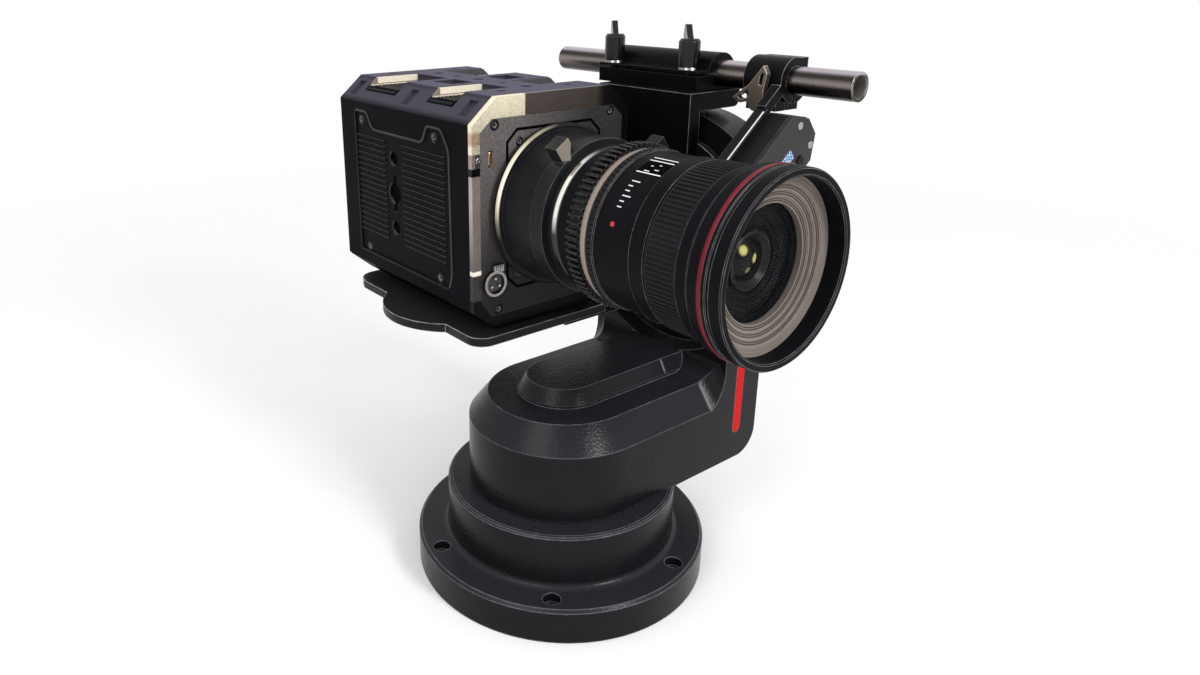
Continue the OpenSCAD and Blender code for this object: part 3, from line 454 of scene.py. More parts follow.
    SILVER = Finish(
        "mount_silver", "#3a3735", "#45423f", (0.14, 0.28), Grain.TURNED, 400.0, 0.04, metallic=1.0,
        # Painted highlight: a near-white band on the ring's upper left
        edge=0.3, zones=(Zone("#fbf8f2", x=below(-14), y=(-34.6, -32.2), z=above(217), soft=(6, 0.3, 5)),))
    LEVER = Finish(
        "lever_bronze", "#6d635a", "#7b7065", (0.28, 0.42), Grain.SATIN, 800.0, 0.10,
        metallic=0.9, edge=0.8, wear_and_highlight=0.9, wear_and_highlight_color="#dcd2c6")
    PLATE = Finish(
        "plate_black", "#0f0f10", "#141415", (0.32, 0.46), Grain.SATIN, 1400.0, 0.10,
        # Painted top light: up-facing faces a little lighter
        specular=0.14, edge=0.7, wear_and_highlight=1.0, wear_and_highlight_color="#d6d5d0", painted_top_light="#232222")
    DARK = Finish(
        "upright_black", "#060607", "#0a0a0b", (0.35, 0.5), Grain.SATIN, 1400.0, 0.08,
        specular=0.05, edge=0.6, wear_and_highlight=1.0, wear_and_highlight_color="#a9a7aa")
    BLOCK = Finish(
        "block_black", "#060607", "#09090a", (0.28, 0.42), Grain.SATIN, 1400.0, 0.06,
        specular=0.05, edge=0.5, wear_and_highlight=0.4, wear_and_highlight_color="#5c5b60")
    CLAMP = Finish(
        "clamp_black", "#08080a", "#0c0c0e", (0.28, 0.42), Grain.SATIN, 1400.0, 0.06,
        specular=0.06, edge=0.5, wear_and_highlight=0.95, wear_and_highlight_color="#b3b2b6")
    DRIVE = Finish(
        "drive_grey", "#131315", "#18181b", (0.4, 0.55), Grain.POWDER, 2200.0, 0.10,
        specular=0.08, edge=0.5, wear_and_highlight=0.7, wear_and_highlight_color="#77777c")
    DRIVE_FACE = Finish(
        "drive_face", "#2c292b", "#343133", (0.4, 0.55), Grain.POWDER, 2200.0, 0.10,
        specular=0.1, edge=0.5, wear_and_highlight=0.4, wear_and_highlight_color="#77777c", speckle=0.12)
    STEEL = Finish(
        "steel", "#b6b6b9", "#a2a2a6", (0.2, 0.38), Grain.BRUSHED, 500.0, 0.08,
        metallic=1.0, edge=0.2, stretch=(1, 1, 5))
    SCREW = Finish(
        "black_screw", "#0c0c0e", "#121214", (0.25, 0.4), Grain.SATIN, 900.0, 0.08,
        specular=0.1, edge=0.45, wear_and_highlight=1.0, wear_and_highlight_color="#cfcfd2")
    PLASTIC = Finish(
        "black_plastic", "#101012", "#151517", (0.4, 0.55), Grain.SATIN, 1500.0, 0.12,
        specular=0.1, edge=0.3)
    COPPER = Finish(
        "contact_copper", "#a98d76", "#967c66", (0.25, 0.4), Grain.BRUSHED, 900.0, 0.08,
        metallic=1.0, edge=0.15, zones=(Zone("#1a1512", y=above(10.3), soft=(1, 0.1, 1)),))
    WHITE = Finish("white_ink", "#dededf", "#d2d2d4", (0.45, 0.6), Grain.SATIN, 2000.0, 0.05, edge=0.05)
    RED_INK = Finish("red_ink", "#b02a2c", "#bb3234", (0.45, 0.6), Grain.SATIN, 2000.0, 0.05, edge=0.05)
    GROOVE = Finish(
        "groove_black", "#030303", "#050505", (0.5, 0.7), Grain.SATIN, 2000.0, 0.05,
        specular=0.01, edge=0.05)
    RIDGE = Finish(
        "baffle_ridge", "#38322f", "#423b37", (0.45, 0.6), Grain.SATIN, 2000.0, 0.05,
        specular=0.05, edge=0.1)
    INNER = Finish(
        "inner_black", "#060607", "#08080a", (0.3, 0.4), Grain.POLISHED, 300.0, 0.02,
        specular=0.05, edge=0.2, wear_and_highlight=0.5, wear_and_highlight_color="#4a4742")
    INNER_RING = Finish(
        "inner_ring", "#1b1917", "#24211f", (0.25, 0.35), Grain.POLISHED, 300.0, 0.02,
        specular=0.1, edge=0.3, wear_and_highlight=0.8, wear_and_highlight_color="#6b665f")
    BOARD = Finish("board_green", "#1f5138", "#27634a", (0.4, 0.6), Grain.SATIN, 700.0, 0.1, edge=0.2)
    BRASS = Finish(
        "gear_brass", "#b08d4f", "#9c7a40", (0.25, 0.42), Grain.BRUSHED, 600.0, 0.08,
        metallic=1.0, edge=0.2)
    CAN = Finish(
        "motor_can", "#3a3a3d", "#47474b", (0.3, 0.5), Grain.BRUSHED, 500.0, 0.08,
        metallic=0.8, edge=0.4)
    LAMP = Lamp()
    DISPLAY = Screen()
    FRONT_GLASS = Optic("front_glass", "#020203", 0.12, "#2a2f38")
    INNER_GLASS = Optic("inner_glass", "#060706", 1.0, "#1a1d12", glints=(
        # Painted reflections: glint spots on the inner element
        ("#e3d98a", (-3.4, -120.2, 219.2), 3.0), ("#d9cf7d", (4.6, -120.0, 214.0), 2.6),
        ("#9fb79a", (-5.6, -119.2, 222.6), 2.2), ("#8d8a62", (0.4, -120.3, 209.0), 2.0)))


NODE_FINISH: dict[str, list[str]] = {
    "CASTING": ["base_casting", "base_bottom_cover", "arm_shell", "arm_under_cover", "tower_cover"],
    "CAMERA": ["camera_shell", "camera_rear_panel"],
    "PANEL": ["camera_side_panel"],
    "FRONT": ["camera_front_plate"],
    "CHAMPAGNE": ["camera_bezel"],
    "PALE": ["camera_fins"],
    "MOUNT": ["camera_mount"],
    "LOCK": ["camera_lock_ring"],
    "LENS": ["lens_barrel", "lens_front_barrel", "lens_front_rim"],
    "GEAR": ["zoom_gear_ring", "drive_pinion"],
    "RUBBER": ["focus_ring", "camera_pad", "tilt_belt"],
    "RED": ["lens_red_ring"],
    "TAUPE": ["lens_baffle"],
    "ROD": ["support_rod"],
    "GLOSS": ["wing_screw_front", "wing_screw_rear"],
    "CHROME": ["wing_washers", "camera_connector"],
    "SILVER": ["lens_mount"],
    "LEVER": ["clamp_lever"],
    "PLATE": ["cradle_plate", "tilt_hub"],
    "DARK": ["cradle_upright"],
    "BLOCK": ["rod_block"],
    "CLAMP": ["rod_clamp"],
    "DRIVE": ["drive_housing", "drive_rail"],
    "DRIVE_FACE": ["drive_panel"],
    "STEEL": ["drive_screws", "camera_bolts", "tilt_shaft", "tilt_bearing", "pan_spigot",
              "pan_bearing_outer", "pan_bearing_inner", "tilt_motor_pulley"],
    "SCREW": ["camera_screws", "cradle_screws", "base_cover_screws", "pan_cover_screws"],
    "PLASTIC": ["drive_button_upper", "drive_button_lower"],
    "BOARD": ["control_board"],
    "BRASS": ["pan_sun_gear", "pan_pinion"],
    "CAN": ["pan_motor", "tilt_motor"],
    "LAMP": ["light_bar"],
    "DISPLAY": ["drive_display"],
    "FRONT_GLASS": ["lens_glass"],
}


def facing(origin: Triple, forward: Triple, up: Triple = (0, 0, 1)) -> Matrix:
    """Gives a placement whose Z points forward and whose Y is near up."""
    z = Vector(forward).normalized()
    x = Vector(up).cross(z).normalized()
    y = z.cross(x)
    turn = Matrix((x, y, z)).transposed().to_4x4()
    return Matrix.Translation(origin) @ turn


def cylinder(radius: float, lo: float, hi: float, sides: int) -> bmesh.types.BMesh:
    """Gives a new capped cylinder along Z from lo to hi."""
    part = bmesh.new()
    bmesh.ops.create_cone(part, cap_ends=True, segments=sides, radius1=radius, radius2=radius,
                          depth=hi - lo, matrix=Matrix.Translation((0, 0, (lo + hi) / 2)))
    return part


def soften(bm: bmesh.types.BMesh, geom: list, offset: float, segments: int, affect: str = "EDGES") -> None:
    """Rounds edges, or corners where affect says VERTICES."""
    bmesh.ops.bevel(bm, geom=geom, offset=offset, segments=segments, affect=affect, profile=0.5,
                    material=-1)


def push(bm: bmesh.types.BMesh, faces: list[bmesh.types.BMFace], way: Triple) -> None:
    """Extrudes faces along a way."""
    made = bmesh.ops.extrude_face_region(bm, geom=faces)
    moved = [v for v in made["geom"] if isinstance(v, bmesh.types.BMVert)]
    bmesh.ops.translate(bm, verts=moved, vec=way)


def close(bm: bmesh.types.BMesh) -> None:
    """Fills every open rim."""
    rims = [e for e in bm.edges if len(e.link_faces) == 1]
    bmesh.ops.holes_fill(bm, edges=rims, sides=0)


@dataclass
class Shape:
    """A mesh under construction, in millimetres in the shared frame."""

    bm: bmesh.types.BMesh = field(default_factory=bmesh.new)

    def turn(self, points: list[Triple], axis: Triple, centre: Triple, steps: int = 144,
             degrees: float = FULL_TURN) -> None:
        """Spins a closed profile round an axis.

        Args:
            points: Profile in the plane where the spin starts.
            axis: Axis to spin about.
            centre: Point on that axis.
            steps: Faces round the spin.
            degrees: Angle of the spin.
        """
        verts = [self.bm.verts.new(p) for p in points]
        edges = [self.bm.edges.new(pair) for pair in zip(verts, verts[1:] + verts[:1])]
        full = abs(degrees) >= FULL_TURN
        bmesh.ops.spin(self.bm, geom=verts + edges, cent=centre, axis=axis, dvec=(0, 0, 0),
                       angle=math.radians(degrees), steps=steps, use_merge=full)
        bmesh.ops.remove_doubles(self.bm, verts=self.bm.verts, dist=MERGE)
        if not full:
            close(self.bm)
        bmesh.ops.recalc_face_normals(self.bm, faces=self.bm.faces)

    def lens_turn(self, profile: Sequence[Point], steps: int = 144, start: float = 0.0,
                  degrees: float = FULL_TURN) -> None:
        """Spins a closed profile about the lens axis.

        Args:
            profile: Pairs of radius and distance in front of the origin.
            steps: Faces round the spin.
            start: Angle where the spin starts, counted from +X towards +Z.
            degrees: Angle of the spin.
        """
        a = math.radians(start)
        points = [(r * math.cos(a), -d, LENS_Z + r * math.sin(a)) for r, d in profile]
        self.turn(points, FORWARD, (0, 0, LENS_Z), steps, degrees)

    def patch(self, radii: Point, along: Point, start: float, degrees: float, steps: int = 2) -> None:
        """Adds a raised patch on a barrel round the lens axis.

        Args:
            radii: Radius of its underside and of its top.
            along: Distances in front of the origin where it begins and ends.
            start: Angle where it starts, counted from +X towards +Z.
            degrees: Angle that it covers.
            steps: Faces over that angle.
        """
        (low, high), (near, far) = radii, along
        self.lens_turn([(low, near), (high, near), (high, far), (low, far)], steps, start, degrees)

    def cap(self, radius: float, cut: float, segments: tuple[int, int], centre: float) -> None:
        """Adds the cap of a ball, looking forward on the lens axis.

        Args:
            radius: Radius of the ball.
            cut: Distance from the ball's centre to the cap's flat back.
            segments: Faces round the ball and from pole to pole.
            centre: Where the ball's centre lies along Y.
        """
        bmesh.ops.create_uvsphere(self.bm, u_segments=segments[0], v_segments=segments[1], radius=radius)
        whole = self.bm.verts[:] + self.bm.edges[:] + self.bm.faces[:]
        bmesh.ops.bisect_plane(self.bm, geom=whole, plane_co=(0, 0, cut), plane_no=(0, 0, 1),
                               clear_inner=True)
        close(self.bm)
        bmesh.ops.recalc_face_normals(self.bm, faces=self.bm.faces)
        bmesh.ops.transform(self.bm, matrix=facing((0, centre, LENS_Z), FORWARD), verts=self.bm.verts)

    def band(self, corners: list[Triple], width: float, way: Triple, rounding: float = 0.0) -> None:
        """Adds a flat band along a closed loop.

        Args:
            corners: Outer corners in order.
            width: Width of the band.
            way: Way from the band's front to its back.
            rounding: Size of the rounded corners, or nought for sharp ones.
        """
        face = self.bm.faces.new([self.bm.verts.new(corner) for corner in corners])
        if rounding > 0:
            soften(self.bm, face.verts[:], rounding, 4, "VERTICES")
            face = self.bm.faces[:][0]
        else:
            face.normal_update()
        rim = bmesh.ops.inset_region(self.bm, faces=[face], thickness=width, use_boundary=True,
                                     use_even_offset=True)["faces"]
        bmesh.ops.delete(self.bm, geom=[face], context="FACES_ONLY")
        push(self.bm, rim, way)
        bmesh.ops.recalc_face_normals(self.bm, faces=self.bm.faces)

    def box(self, lo: Triple, hi: Triple, bevel: float, segments: int = 2,
            matrix: Matrix | None = None) -> list[bmesh.types.BMVert]:
        """Adds a block with rounded edges and gives its vertices."""
        part = bmesh.new()
        size = [b - a for a, b in zip(lo, hi)]
        mid = [(a + b) / 2 for a, b in zip(lo, hi)]
        bmesh.ops.create_cube(part, size=1.0, matrix=Matrix.Translation(mid) @ Matrix.Diagonal((*size, 1.0)))
        soften(part, part.edges[:], bevel, segments)
        return self._take(part, matrix)

    def rod(self, radius: float, lo: float, hi: float, matrix: Matrix, sides: int, bevel: float = 0.0) -> None:
        """Adds a round bar along the matrix's Z from lo to hi."""
        part = cylinder(radius, lo, hi, sides)
        if bevel > 0:
            rims = [e for e in part.edges if any(len(f.verts) > 4 for f in e.link_faces)]
            soften(part, rims, bevel, 2)
        self._take(part, matrix)

    def screw(self, radius: float, height: float, matrix: Matrix) -> None:
        """Adds a screw head with a star socket, its seat at the matrix's origin and its top along Z."""
        part = cylinder(radius, 0.0, height, SCREW_SIDES)
        top = max(part.faces, key=lambda f: f.calc_center_median().z)
        soften(part, list(top.edges), SCREW_ROUND * radius, 3)
        top = max(part.faces, key=lambda f: (f.calc_center_median().z, len(f.verts)))
        bmesh.ops.inset_region(part, faces=[top], thickness=SOCKET_RIM * radius, use_even_offset=True)
        for i, vert in enumerate(top.verts):
            if i % 4 < 2:
                bmesh.ops.scale(part, verts=[vert], vec=(SOCKET_WAIST, SOCKET_WAIST, 1.0))
        push(part, [top], (0, 0, -SOCKET_DEPTH * height))
        bmesh.ops.delete(part, geom=[top], context="FACES_ONLY")
        self._take(part, matrix)

    def ring(self, geom: list[bmesh.types.BMVert], count: int, axis: Triple, centre: Triple) -> None:
        """Repeats vertices and what joins them round an axis."""
        verts = set(geom)
        parts = [e for e in self.bm.edges if e.verts[0] in verts and e.verts[1] in verts]
        parts += [f for f in self.bm.faces if all(v in verts for v in f.verts)]
        bmesh.ops.spin(self.bm, geom=list(verts) + parts, cent=centre, axis=axis, dvec=(0, 0, 0),
                       angle=2 * math.pi * (count - 1) / count, steps=count - 1, use_duplicate=True)

    def _take(self, part: bmesh.types.BMesh, matrix: Matrix | None) -> list[bmesh.types.BMVert]:
        """Moves a small mesh into this one and gives its vertices."""
        if matrix is not None:
            bmesh.ops.transform(part, matrix=matrix, verts=part.verts)
        held = bpy.data.meshes.new("held")
        part.to_mesh(held)
        part.free()
        before = len(self.bm.verts)
        self.bm.from_mesh(held)
        bpy.data.meshes.remove(held)
        self.bm.verts.ensure_lookup_table()
        return self.bm.verts[before:]

    def place(self, name: str, body: Body, finish: Surface, slot: str) -> bpy.types.Object:
        """Turns the mesh into an object of the scene.

        Args:
            name: Name of the piece.
            body: Body that it rides on.
            finish: Finish of the piece.
            slot: Not used.

        Returns:
            The new object, riding on its body.
        """
        bmesh.ops.scale(self.bm, vec=(MM, MM, MM), verts=self.bm.verts)
        for face in self.bm.faces:
            face.smooth = True
        for edge in self.bm.edges:
            if len(edge.link_faces) == 2 and edge.calc_face_angle() > SMOOTH_ANGLE:
                edge.smooth = False
        mesh = bpy.data.meshes.new(name)
        self.bm.to_mesh(mesh)
        self.bm.free()
        mesh.materials.append(finish.material())
        piece = bpy.data.objects.new(name, mesh)
        bpy.context.scene.collection.objects.link(piece)
        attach(piece, body.value)
        return piece


@dataclass
class Dresser:
    """Gives every CAD node its finish."""

    table: dict[str, list[str]] = field(default_factory=lambda: dict(NODE_FINISH))

    def dress(self) -> None:
        """Assigns materials to the slots of the CAD objects."""
        for name, nodes in self.table.items():
            material = getattr(Finishes, name).material()
            for node in nodes:
                self._assign(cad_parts[node], material)
        bare = set(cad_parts) - {n for nodes in self.table.values() for n in nodes}
        LOG.info("nodes without a finish: %s", sorted(bare))

    @staticmethod
    def _assign(obj: bpy.types.Object, material: bpy.types.Material) -> None:
        """Puts one material in all slots of an object."""
        if not obj.material_slots:
            obj.data.materials.append(material)
        for slot in obj.material_slots:
            slot.material = material


@dataclass
class PanBase:
    """The round base: a fine trim line on top of the neck."""

    trim_r: float = 64.2
    top: float = 51.0
    section: tuple[Point, ...] = ((-0.35, -0.1), (0.35, -0.1), (0.25, 0.25), (-0.25, 0.25))

    def build(self) -> None:
        """Adds the raised trim line."""
        s = Shape()
        s.turn([(self.trim_r + out, 0, self.top + up) for out, up in self.section], (0, 0, 1), (0, 0, 0), 160)
        s.place("neck_trim", Body.BASE, Finishes.CASTING, "black_alloy")


@dataclass
class BoxCamera:
    """Details on the box camera: screws, lip, hole floors and rims, groove, connector and port."""

    front_screws: tuple[Point, ...] = ((40.2, 260.3), (-40.2, 260.3), (38.3, 160.5), (-38.3, 160.5))
    inner_screws: tuple[Point, ...] = ((24, 250.2), (-24, 250.2), (24, 177.8), (-24, 177.8))
    side_screws: tuple[Point, ...] = ((123.5, 251), (44.5, 251), (120.5, 172.5), (41.5, 173))
    front_screw_r: float = 2.75
    inner_screw_r: float = 2.35
    side_screw_r: float = 3.1
    front_seat: float = 1.6
    front_head: float = 1.5
    side_seat: float = 1.35
    side_head: float = 1.2
    bezel_screw: Point = (-50.6, 243.2)
    bezel_screw_r: float = 1.7
    bezel_seat: float = 0.4
    bezel_head: float = 0.9
    lip: tuple[Point, ...] = ((131.3, 256.8), (116.6, 256.8), (109.8, 247.2), (56.4, 247.2), (51.4, 256.8),
                              (37.3, 256.8), (29.7, 246), (28.7, 177), (31.8, 168.2), (131.3, 168.2))
    lip_rise: float = 0.35
    lip_width: float = 1.3
    lip_depth: float = 0.8
    lip_rounding: float = 2.6
    side_holes: tuple[Triple, ...] = ((87.5, 232.5, 4.0), (87.5, 211.9, 6.0), (87.5, 191.3, 4.0))
    hole_play: float = 0.1
    hole_depth: float = 1.7
    hole_floor: float = 0.2
    rim_section: tuple[Point, ...] = ((0.35, 0.1), (0.35, 0.7), (0.7, 0.7), (0.7, 0.1))
    rim_start: float = -80.0
    rim_degrees: float = 140.0
    groove: tuple[Point, ...] = ((-33, 177), (-26, 170), (26, 170), (33, 177),
                                 (33, 251), (26, 257.5), (-26, 257.5), (-33, 251))
    groove_rise: float = 0.15
    groove_width: float = 1.5
    groove_depth: float = 0.3
    connector: Point = (-41.7, 176.3)
    connector_rise: float = 0.8
    insert_r: float = 5.5
    insert_height: float = 0.5
    pin_circle: float = 2.9
    pin_r: float = 0.85
    pin_span: Point = (0.3, 1.7)
    latch_ribs: int = 5
    latch_pitch: float = 1.2
    port: tuple[Triple, Triple] = ((-44.5, CAM_FRONT + 0.15, 239.1), (-41.5, CAM_FRONT + 1.4, 247.4))
    port_rounding: float = 1.35
    port_wall: float = 0.12
    port_depth: float = 0.7

    def build(self) -> None:
        """Adds the camera's small pieces."""
        self._screws()
        self._lip()
        self._holes()
        self._marks()
        self._connector()
        self._port()

    def _screws(self) -> None:
        """Adds all screws with star sockets."""
        s = Shape()
        sets = ((self.front_screws, self.front_screw_r), (self.inner_screws, self.inner_screw_r))
        for places, radius in sets:
            for x, z in places:
                s.screw(radius, self.front_head, facing((x, CAM_FRONT + self.front_seat, z), FORWARD))
        for y, z in self.side_screws:
            s.screw(self.side_screw_r, self.side_head, facing((SIDE_X + self.side_seat, y, z), LEFT))
        piece = s.place("camera_screw_heads", Body.CRADLE, Finishes.SCREW, "black_screw")
        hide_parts("camera_screws")

    def _lip(self) -> None:
        """Adds the thin raised lip round the side panel."""
        s = Shape()
        corners = [(SIDE_X - self.lip_rise, y, z) for y, z in self.lip]
        s.band(corners, self.lip_width, (self.lip_depth, 0, 0), self.lip_rounding)
        s.place("side_panel_lip", Body.CRADLE, Finishes.LIP, "black_alloy")

    def _holes(self) -> None:
        """Adds dark floors in the side panel's holes and a raised arc on the rear of each rim."""
        s = Shape()
        for y, z, r in self.side_holes:
            at = facing((SIDE_X + self.hole_depth, y, z), LEFT)
            s.rod(r - self.hole_play, 0.0, self.hole_floor, at, 48)
        s.place("panel_hole_floors", Body.CRADLE, Finishes.GROOVE, "black_alloy")
        s = Shape()
        start = math.radians(self.rim_start)
        for y, z, r in self.side_holes:
            arc = [(SIDE_X + depth, y + (r + out) * math.cos(start), z + (r + out) * math.sin(start))
                   for depth, out in self.rim_section]
            s.turn(arc, (1, 0, 0), (0, y, z), 24, self.rim_degrees)
        s.place("panel_hole_rims", Body.CRADLE, Finishes.LIP, "black_alloy")

    def _marks(self) -> None:
        """Adds the groove round the lens mount and the small bright screw on the bezel."""
        s = Shape()
        corners = [(x, CAM_FRONT - self.groove_rise, z) for x, z in self.groove]
        s.band(corners, self.groove_width, (0, self.groove_depth, 0))
        s.place("mount_groove", Body.CRADLE, Finishes.GROOVE, "black_alloy")
        s = Shape()
        x, z = self.bezel_screw
        s.screw(self.bezel_screw_r, self.bezel_head, facing((x, CAM_FRONT + self.bezel_seat, z), FORWARD))
        s.place("bezel_screw", Body.CRADLE, Finishes.STEEL, "steel")

    def _connector(self) -> None:
        """Adds the connector's insert, pins and latch ribs."""
        x, z = self.connector
        front = CAM_FRONT - self.connector_rise
        s = Shape()
        s.rod(self.insert_r, 0.0, self.insert_height, facing((x, front, z), FORWARD), 48, 0.1)
        s.place("connector_insert", Body.CRADLE, Finishes.CAN, "grey_alloy")
        s = Shape()
        for k in range(3):
            a = math.radians(90 + 120 * k)
            pin = (x + self.pin_circle * math.cos(a), front, z + self.pin_circle * math.sin(a))
            s.rod(self.pin_r, *self.pin_span, facing(pin, FORWARD), 16, 0.25)
        for k in range(self.latch_ribs):
            left = x - 0.6 + self.latch_pitch * k
            right = x + self.latch_pitch * k
            s.box((left, CAM_FRONT - 2.7, z + 6.6), (right, CAM_FRONT - 2.1, z + 9.6), 0.15)
        s.place("connector_pins", Body.CRADLE, Finishes.STEEL, "steel")

    def _port(self) -> None:
        """Adds the small port's metal shell."""
        s = Shape()
        s.box(*self.port, self.port_rounding, 4)
        faces = [f for f in s.bm.faces if f.normal.y < -0.99]
        bmesh.ops.inset_region(s.bm, faces=faces, thickness=self.port_wall)
        push(s.bm, faces, (0, self.port_depth, 0))
        s.place("port_shell", Body.CRADLE, Finishes.COPPER, "steel")


@dataclass(frozen=True)
class Teeth:
    """Blocks spread evenly round the lens axis."""

    count: int
    radii: Point
    along: Point
    half_width: float
    bevel: float
    segments: int

    def cut(self, s: Shape) -> None:
        """Adds the blocks to a shape."""
        (low, high), (front, back) = self.radii, self.along
        block = s.box((low, front, LENS_Z - self.half_width), (high, back, LENS_Z + self.half_width),
                      self.bevel, self.segments)
        s.ring(block, self.count, (0, 1, 0), (0, 0, LENS_Z))


@dataclass
class ZoomLens:
    """Details on the zoom lens: ribbed ring, knurl, scale window, baffle rings and front glass."""

    ribs: Teeth = Teeth(108, (39.0, 40.45), (-112.6, -96.4), 0.72, 0.42, 3)
    knurl: Teeth = Teeth(90, (39.4, 40.35), (-62.6, -59.3), 1.0, 0.2, 2)
    grip: tuple[Point, ...] = ((37.2, 95.3), (39.4, 95.3), (39.9, 95.8), (39.9, 96.6), (39.5, 97),
                               (39.5, 112.0), (39.9, 112.3), (39.9, 113), (39.4, 113.5), (37.2, 113.5))
    window: Point = (70.6, 84.9)
    ink_r: float = 39.2
    bars: tuple[float, ...] = (102.6, 106.6, 120.6)
    dots: tuple[Triple, ...] = ((118.6, 74.0, 77.0), (116.4, 79.0, 81.5), (113.0, 75.0, 76.4),
                                (111.0, 79.0, 80.4))
    ticks: int = 6
    ridges: tuple[Point, ...] = ((28.0, 128.17), (29.0, 128.33), (31.0, 129.2), (32.0, 129.4),
                                 (34.0, 130.3), (35.0, 130.5))
    ridge_section: tuple[Point, ...] = ((-0.2, -0.15), (-0.2, 0.16), (0.2, 0.24), (0.2, -0.15))
    cone: tuple[Point, ...] = ((26.9, 125.2), (26.9, 115.6), (14.0, 115.6), (14.0, 119.0), (16.0, 119.0),
                               (16.4, 120.4), (18.6, 120.4), (19.0, 121.6), (21.2, 121.6), (21.6, 122.8),
                               (23.8, 122.8), (24.2, 124.0), (26.4, 124.0), (26.6, 125.2))
    inner_ring: tuple[Point, ...] = ((10.2, 116.5), (13.6, 116.5), (13.6, 121.0), (12.9, 121.5), (10.2, 119.6))

    def build(self) -> None:
        """Adds the lens pieces."""
        self._focus_ring()
        self._knurl()
        self._window()
        self._ridges()
        self._glass()

    def _focus_ring(self) -> None:
        """Adds the ribbed rubber ring in place of the plain one."""
        s = Shape()
        s.lens_turn(self.grip)
        self.ribs.cut(s)
        piece = s.place("focus_grip", Body.FOCUS, Finishes.RUBBER, "black_plastic")
        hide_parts("focus_ring")

    def _knurl(self) -> None:
        """Adds the block knurl beside the gear ring."""
        s = Shape()
        self.knurl.cut(s)
        s.place("barrel_knurl", Body.CRADLE, Finishes.RUBBER, "black_plastic")

    def _window(self) -> None:
        """Adds the distance scale's window, its bars, dots and ticks, and the index mark."""
        s = Shape()
        s.patch((39.1, 39.45), self.window, 101.6, 20.2, 24)
        s.place("scale_window", Body.CRADLE, Finishes.GROOVE, "black_plastic")
        s = Shape()
        for start in self.bars:
            s.patch((self.ink_r, 39.6), self.window, start, 0.9)
        for start, near, far in self.dots:
            s.patch((self.ink_r, 39.55), (near, far), start, 0.7)
        for k in range(self.ticks):
            far = 77.5 if k % 3 == 0 else 75.2
            s.patch((self.ink_r, 39.42), (72.6, far), 129.0 + 4.0 * k, 0.8)
        s.place("scale_marks", Body.CRADLE, Finishes.WHITE, "grey_alloy")
        s = Shape()
        s.patch((self.ink_r, 39.42), (72.4, 74.6), 160.0, 3.0, 6)
        s.place("index_mark", Body.CRADLE, Finishes.RED_INK, "ring_red")

    def _ridges(self) -> None:
        """Adds fine rings on the baffle round the front glass."""
        s = Shape()
        for r, d in self.ridges:
            s.lens_turn([(r + out, d + ahead) for out, ahead in self.ridge_section])
        s.place("baffle_ridges", Body.CRADLE, Finishes.RIDGE, "grey_alloy")

    def _glass(self) -> None:
        """Adds the front element and the group that shows behind it."""
        s = Shape()
        s.cap(60.0, 53.7, (128, 160), -71.8)
        piece = s.place("front_element", Body.CRADLE, Finishes.FRONT_GLASS, "glass")
        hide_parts("lens_glass")
        s = Shape()
        s.lens_turn(self.cone)
        s.place("inner_cone", Body.CRADLE, Finishes.INNER, "black_plastic")
        s = Shape()
        s.lens_turn(self.inner_ring)
        s.place("inner_ring", Body.CRADLE, Finishes.INNER_RING, "grey_alloy")
        s = Shape()
        s.cap(16.0, 12.4, (64, 64), -104.4)
        s.place("inner_element", Body.CRADLE, Finishes.INNER_GLASS, "glass")


@dataclass
class LensDrive:
    """The white line on the drive's rail."""

    pinion: Point = (54.78, 221.54)
    line: tuple[Triple, Triple] = ((3, -66.2, 19.9), (44, -65.4, 20.12))

    def build(self) -> None:
        """Adds the line along the rail."""
        x, z = self.pinion
        at = Matrix.Translation((x, 0, z)) @ Matrix.Rotation(math.radians(-DRIVE_TURN), 4, "Y")
        s = Shape()
        s.box(*self.line, 0.05, 1, at)
        s.place("rail_line", Body.CRADLE, Finishes.WHITE, "grey_alloy")


@dataclass
class SupportRod:
    """The bright machined bore at the rod's front end."""

    centre: Point = (100.0, 279.0)
    front: float = -103.0
    setback: float = 0.6
    depth: float = 18.0
    outer: float = 5.97
    inner: float = 5.7

    def build(self) -> None:
        """Adds the sleeve inside the rod's mouth."""
        x, z = self.centre
        near, far = self.front + self.setback, self.front + self.depth
        section = ((self.outer, near), (self.inner, near), (self.inner, far), (self.outer, far))
        s = Shape()
        s.turn([(x + r, y, z) for r, y in section], (0, 1, 0), (x, 0, z), 64)
        s.place("rod_bore", Body.CRADLE, Finishes.BORE, "steel")


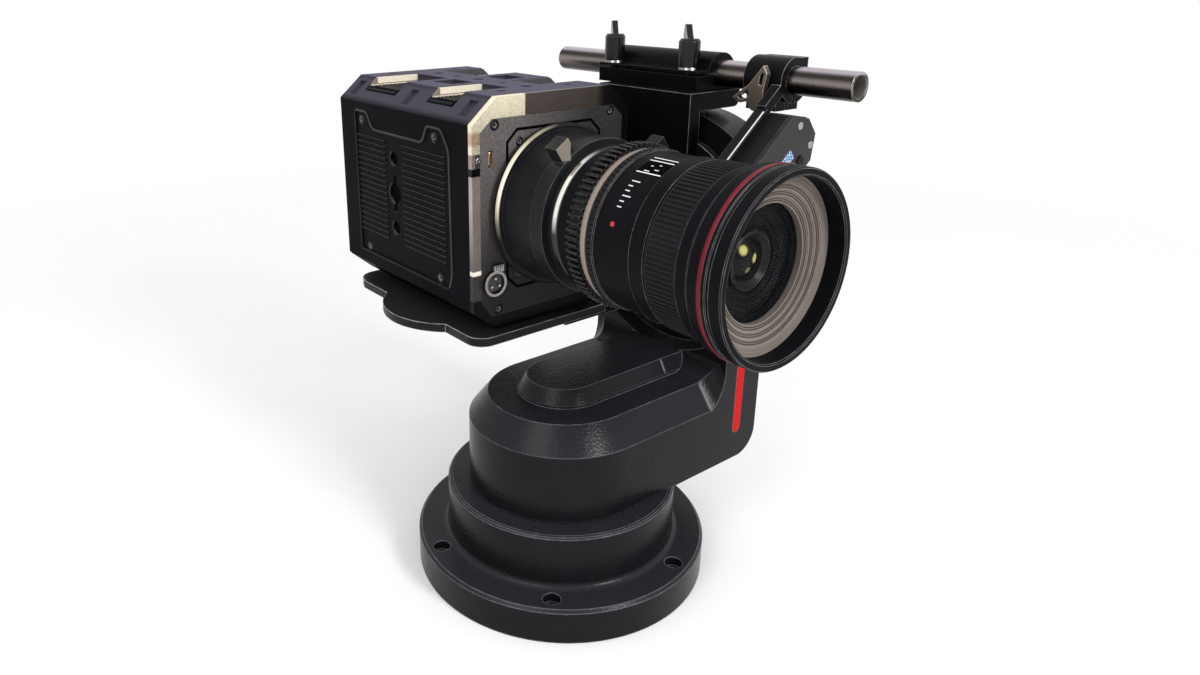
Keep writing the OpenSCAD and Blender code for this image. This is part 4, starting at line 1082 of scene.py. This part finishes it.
@dataclass
class Studio:
    """Floor, light and the photograph's viewpoint, in metres."""

    eye: Triple = (-0.3018, -0.3397, 0.3314)
    azimuth: float = 37.0
    elevation: float = 18.2
    roll: float = -0.3
    lens: float = 25.98
    sensor: float = 36.0
    shift: Point = (0.085, -0.0633)
    clip: Point = (0.01, 50.0)
    aim: Triple = (0.0, 0.0, 0.16)
    floor_radius: float = 1.4
    floor_fade: Point = (0.35, 1.2)
    floor_drop: float = 0.0005

    def build(self) -> None:
        """Makes the whole setting."""
        self._camera()
        self._world()
        self._floor()
        self._area("key", (0.10, -1.13, 0.80), 0.30, 11.0)
        self._area("side", (-0.95, -0.3, 1.0), 0.6, 5.0)

    def _camera(self) -> None:
        """Places the camera at the photograph's viewpoint."""
        data = bpy.data.cameras.new("view")
        data.sensor_width = self.sensor
        data.lens = self.lens
        data.shift_x, data.shift_y = self.shift
        data.clip_start, data.clip_end = self.clip
        az, el = math.radians(self.azimuth), math.radians(self.elevation)
        look = Vector((math.sin(az) * math.cos(el), math.cos(az) * math.cos(el), -math.sin(el)))
        turn = look.to_track_quat("-Z", "Y").to_matrix().to_4x4()
        roll = Matrix.Rotation(math.radians(self.roll), 4, "Z")
        obj = bpy.data.objects.new("view", data)
        obj.matrix_world = Matrix.Translation(self.eye) @ turn @ roll
        bpy.context.scene.collection.objects.link(obj)
        bpy.context.scene.camera = obj

    @staticmethod
    def _world() -> None:
        """Makes an even white surround."""
        world = bpy.data.worlds.new("studio")
        world.use_nodes = True
        back = world.node_tree.nodes["Background"]
        back.inputs["Color"].default_value = (1.0, 1.0, 1.0, 1.0)
        back.inputs["Strength"].default_value = 1.0
        bpy.context.scene.world = world
        bpy.context.scene.view_settings.view_transform = "Standard"

    def _floor(self) -> None:
        """Makes a pale floor that fades into the surround."""
        bm = bmesh.new()
        bmesh.ops.create_circle(bm, cap_ends=True, radius=self.floor_radius, segments=96)
        mesh = bpy.data.meshes.new("floor")
        bm.to_mesh(mesh)
        bm.free()
        g = Graph("floor_pale")
        span = g.add("VectorMath", {0: g.coords}, operation="LENGTH").outputs["Value"]
        cover = g.ramp(span, *self.floor_fade, 1.0, 0.0)
        shader = g.add("BsdfPrincipled", {
            "Base Color": g.mix(g.noise(12.0), rgba("#e8e8e8"), rgba("#ececec")), "Roughness": 0.8,
            "Specular IOR Level": 0.1, "Alpha": cover})
        mesh.materials.append(g.finish(shader))
        floor = bpy.data.objects.new("floor", mesh)
        floor.location = (0, 0, -self.floor_drop)
        bpy.context.scene.collection.objects.link(floor)

    def _area(self, name: str, where: Triple, size: float, power: float) -> None:
        """Adds a soft light aimed at the middle of the object."""
        data = bpy.data.lights.new(name, "AREA")
        data.energy = power
        data.size = size
        light = bpy.data.objects.new(name, data)
        way = Vector(self.aim) - Vector(where)
        light.matrix_world = Matrix.Translation(where) @ way.to_track_quat("-Z", "Y").to_matrix().to_4x4()
        bpy.context.scene.collection.objects.link(light)


def plain(box: tuple) -> list[list[float]]:
    """Turns a box of vectors into plain lists."""
    return [[float(v) for v in corner] for corner in box]


def main() -> None:
    """Builds the sub-assemblies in order."""
    logging.basicConfig(level=logging.INFO)
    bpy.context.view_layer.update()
    Studio().build()
    Dresser().dress()
    for part in (PanBase(), BoxCamera(), ZoomLens(), LensDrive(), SupportRod()):
        LOG.info("building %s", type(part).__name__)
        part.build()


if __name__ == "__main__":
    main()
